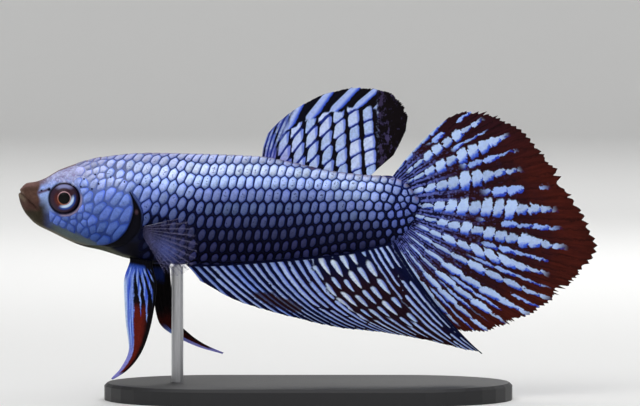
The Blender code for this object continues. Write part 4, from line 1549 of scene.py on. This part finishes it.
def half_thickness(shape, u, t):
    """Half a fin's thickness: it is raised on the rays, which fork towards the rim."""
    out = np.maximum(t, 0)
    main = bump(off_lines(u, 1), 0, 0.42) * (1 - 0.75 * out)
    fork = bump(off_lines(u, 2), 0, 0.45) * np.clip((t - 0.35) / 0.3, 0, 1) * 0.45 * (1.1 - out)
    return shape.web * (1.15 - 0.55 * out) + (shape.ray - shape.web) * np.maximum(main, fork)


def fin_map(grid, front, border):
    """The bake's map by face corner: one side over the other, and the rim as a thin frame round the
    lower one."""
    low = grid.reshape(-1, 2) * (0.96, 0.44) + 0.02
    high = low + (0, 0.52)
    off = low - (0.5, 0.24)
    framed = low + np.sign(off) * (np.abs(off) > (0.479, 0.219)) * 0.012
    after = np.roll(border, -1)
    rim = np.stack((low[border], framed[border], framed[after], low[after]), axis=1)
    return np.concatenate([part.reshape(-1, 2) for part in (low[front], high[front[:, ::-1]], rim)])


def make_fin(cad_node, sheet, shape, material, slot):
    """A thin closed solid round a sheet, with raised rays that fork, and a frayed rim."""
    u = np.linspace(0, shape.rays, shape.rays * shape.columns + 1)
    s = np.array([float(shape.warp(ray)) for ray in u]) if shape.warp else u / shape.rays
    start = np.array([-shape.buried / np.linalg.norm(np.subtract(sheet(a, 1), sheet(a, 0))) for a in s])
    row = np.arange(shape.rows + 1)
    t = start[:, None] + (fin_rim(shape, u) - start)[:, None] * row / shape.rows
    points = np.array([[sheet(across, out) for out in line] for across, line in zip(s, t)])
    normal = unit(np.cross(np.gradient(points, axis=0), np.gradient(points, axis=1)))
    offset = normal * half_thickness(shape, u[:, None], t)[..., None]
    steps = np.linalg.norm(np.diff(points, axis=1), axis=2)
    along = np.concatenate((np.zeros((len(u), 1)), np.cumsum(steps, axis=1)), axis=1)
    index = np.arange(t.size).reshape(t.shape)
    front = np.stack((index[:-1, :-1], index[1:, :-1], index[1:, 1:], index[:-1, 1:]), axis=-1).reshape(-1, 4)
    border = np.concatenate((index[:, 0], index[-1, 1:], index[-2::-1, -1], index[0, -2:0:-1]))
    after = np.roll(border, -1)
    rim = np.stack((border, border + t.size, after + t.size, after), axis=-1)
    grid = np.stack(np.meshgrid(u / shape.rays, row / shape.rows, indexing="ij"), axis=-1)

    def both(values):
        return np.tile(values.reshape(t.size, -1), (2, 1))

    maps = {"Rays": np.stack((np.broadcast_to(u[:, None], t.shape), along), axis=-1),
            "Span": np.stack((t, np.broadcast_to(s[:, None], t.shape)), axis=-1),
            "Plane": points[..., (0, 2)]}
    made = new_mesh("betta_" + cad_node, np.concatenate((points + offset, points - offset)),
                    [*front, *(front[:, ::-1] + t.size), *rim], material,
                    maps={key: both(values) for key, values in maps.items()},
                    corners={"OFBake": fin_map(grid, front, border)})
    middle = Vector(normal[len(u) // 2, shape.rows // 2])
    if made.data.polygons[len(front) // 2].normal.dot(middle) < 0:
        made.data.flip_normals()
    piece(made, slot, cad_node)


def make_fins():
    tail = FinShape(12, 24, 90, 0.9, 0.20, 0.07, 0.035, 0.025, 3, TAIL_WARP)
    anal = FinShape(27, 8, 70, 0.5, 0.17, 0.07, 0.03, 0.012, 4, lambda u: u / 25.8)
    dorsal = FinShape(10, 14, 70, 0.6, 0.18, 0.07, 0.025, 0.012, 5)
    pelvic = FinShape(5, 8, 80, 0.9, 0.24, 0.14, 0.01, 0.004, 6)
    pectoral = FinShape(12, 6, 50, 0.9, 0.09, 0.03, 0.03, 0.02, 7)
    make_fin("tail_fin", tail_sheet, tail, finish("tail_fin_patches", tail_finish), "banded_fin")
    make_fin("anal_fin", anal_sheet, anal, finish("anal_fin_stripes", anal_finish), "banded_fin")
    make_fin("dorsal_fin", dorsal_sheet, dorsal, finish("dorsal_fin_blocks", dorsal_finish), "banded_fin")
    bands, clear = finish("pelvic_fin_bands", pelvic_finish), finish("pectoral_fin_web", pectoral_finish)
    for side, word in SIDES:
        make_fin(f"pelvic_fin_{word}", pelvic_sheet(side), pelvic, bands, "pelvic_fin")
        make_fin(f"pectoral_fin_{word}", pectoral_sheet(side), pectoral, clear, "clear_fin")


# ---------------------------------------------------------------------------------------------
# Stand
# ---------------------------------------------------------------------------------------------

PIN_RADIUS, PIN_OVERLAP, PIN_TURNS = 0.45, 0.4, 24


def make_pin(material):
    """A thin pin that goes on from the rod's top into the belly."""
    low, high = (np.array(corner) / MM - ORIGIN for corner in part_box("stand_rod"))
    x = (low[0] + high[0]) / 2
    ends = (high[2] - PIN_OVERLAP, float(belly(x)) + PIN_OVERLAP)
    n = PIN_TURNS
    points = ring_points((PIN_RADIUS, PIN_RADIUS), ends, n) + (x, 0, 0)
    faces = [(k, (k + 1) % n, n + (k + 1) % n, n + k) for k in range(n)]
    faces += [tuple(reversed(range(n))), tuple(range(n, 2 * n))]
    piece(new_mesh("stand_pin", points, faces, material), "stand_rod")


def make_stand():
    """The CAD's own base and rod, with better finishes, and a pin between the rod and the fish."""
    steel = finish("brushed_rod", rod_finish)
    for cad_node, material in (("stand_base", finish("satin_black_base", base_finish)), ("stand_rod", steel)):
        mesh = frame["nodes"][cad_node].data
        mesh.materials.clear()
        mesh.materials.append(material)
    make_pin(steel)


# ---------------------------------------------------------------------------------------------
# Camera and studio, in metres
# ---------------------------------------------------------------------------------------------

VIEW_WIDTH = 0.0752  # of the whole picture, at the fish
VIEW_CENTRE = (35.37, 0, -0.82)  # in the fish's own millimetres
CAMERA_FAR, CAMERA_ELEVATION = 0.620, 2.0
SENSOR = 36.0
FLOOR_FLAT, FLOOR_CURVE, FLOOR_TURNS = 1.4, 0.5, 64  # radius of the flat part and of the curve round it
LIT = (0, 0, 0.024)
LIGHTS = (  # name, place, size and watts
    ("key", (-0.12, -0.36, 0.36), 0.30, 0.78),
    ("top", (0.05, 0.02, 0.50), 0.34, 0.30),
    ("fill", (0.35, -0.45, 0.16), 0.40, 0.18),
    ("rim", (0.10, 0.35, 0.30), 0.25, 0.55),
)
WASH_LIGHTS, WASH_SIZE, WASH_WATTS = 6, 0.60, 4.6
SKY_STRENGTH = 0.20


def turned_to(holder, place, target):
    """Stands a camera or light at a place, facing the target."""
    holder.location = place
    holder.rotation_euler = (Vector(target) - Vector(place)).to_track_quat("-Z", "Y").to_euler()


def make_camera():
    camera = bpy.data.cameras.new("camera")
    camera.sensor_width = SENSOR
    camera.lens = SENSOR * CAMERA_FAR / VIEW_WIDTH
    camera.clip_start, camera.clip_end = 0.01, 20
    holder = add_object("camera", camera)
    target, rise = Vector(world(VIEW_CENTRE)[0]), math.radians(CAMERA_ELEVATION)
    turned_to(holder, target + Vector((0, -math.cos(rise), math.sin(rise))) * CAMERA_FAR, target)
    bpy.context.scene.camera = holder


def make_light(name, place, target, size, watts):
    lamp = bpy.data.lights.new(name, "AREA")
    lamp.shape, lamp.size, lamp.energy = "DISK", size, watts
    holder = add_object(name, lamp)
    holder.visible_camera = False
    turned_to(holder, place, target)


def make_floor(material):
    """A round pale floor that curves up all round, so that every side has the same backdrop."""
    turn = np.linspace(0, math.pi / 2, 12)
    radius = np.concatenate(((0.2, 0.6, 1.0), FLOOR_FLAT + FLOOR_CURVE * np.sin(turn)))
    height = np.concatenate((np.zeros(3), FLOOR_CURVE * (1 - np.cos(turn))))
    points = np.concatenate((np.zeros((1, 3)), ring_points(radius, height, FLOOR_TURNS)))
    faces = fan(FLOOR_TURNS) + quads_between(len(radius), FLOOR_TURNS, 1)
    floor_disc = add_mesh("floor", points, faces, material)
    floor_disc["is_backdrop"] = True


def make_studio():
    """Soft lights from above and both sides, and a ring of lights that wash the backdrop."""
    make_floor(finish("pale_floor", lambda tree: {"Base Color": rgb(238, 238, 237), "Roughness": 0.8}))
    for name, place, size, watts in LIGHTS:
        make_light(name, place, LIT, size, watts)
    for k, out in enumerate(circle(WASH_LIGHTS)):
        make_light(f"wash_{k}", (*(out * 0.45), 0.9), (*(out * 1.7), 0.1), WASH_SIZE, WASH_WATTS)
    sky = bpy.data.worlds.new("soft")
    sky.use_nodes = True
    background = sky.node_tree.nodes["Background"]
    background.inputs["Color"].default_value = (1, 1, 1, 1)
    background.inputs["Strength"].default_value = SKY_STRENGTH
    bpy.context.scene.world = sky
    bpy.context.scene.view_settings.view_transform = "Standard"


def write_sizes():
    corners = lambda box: [[float(v) for v in corner] for corner in box]
    {"cad": corners(cad_box), "visual": corners(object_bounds())}


def main():
    scales = finish("blue_scales", scale_finish)
    make_skin(finish("betta_skin", skin_finish))
    make_coats(scales)
    make_eyes(finish("betta_eye", eye_finish))
    make_fins()
    make_stand()
    make_camera()
    make_studio()
    write_sizes()


main()
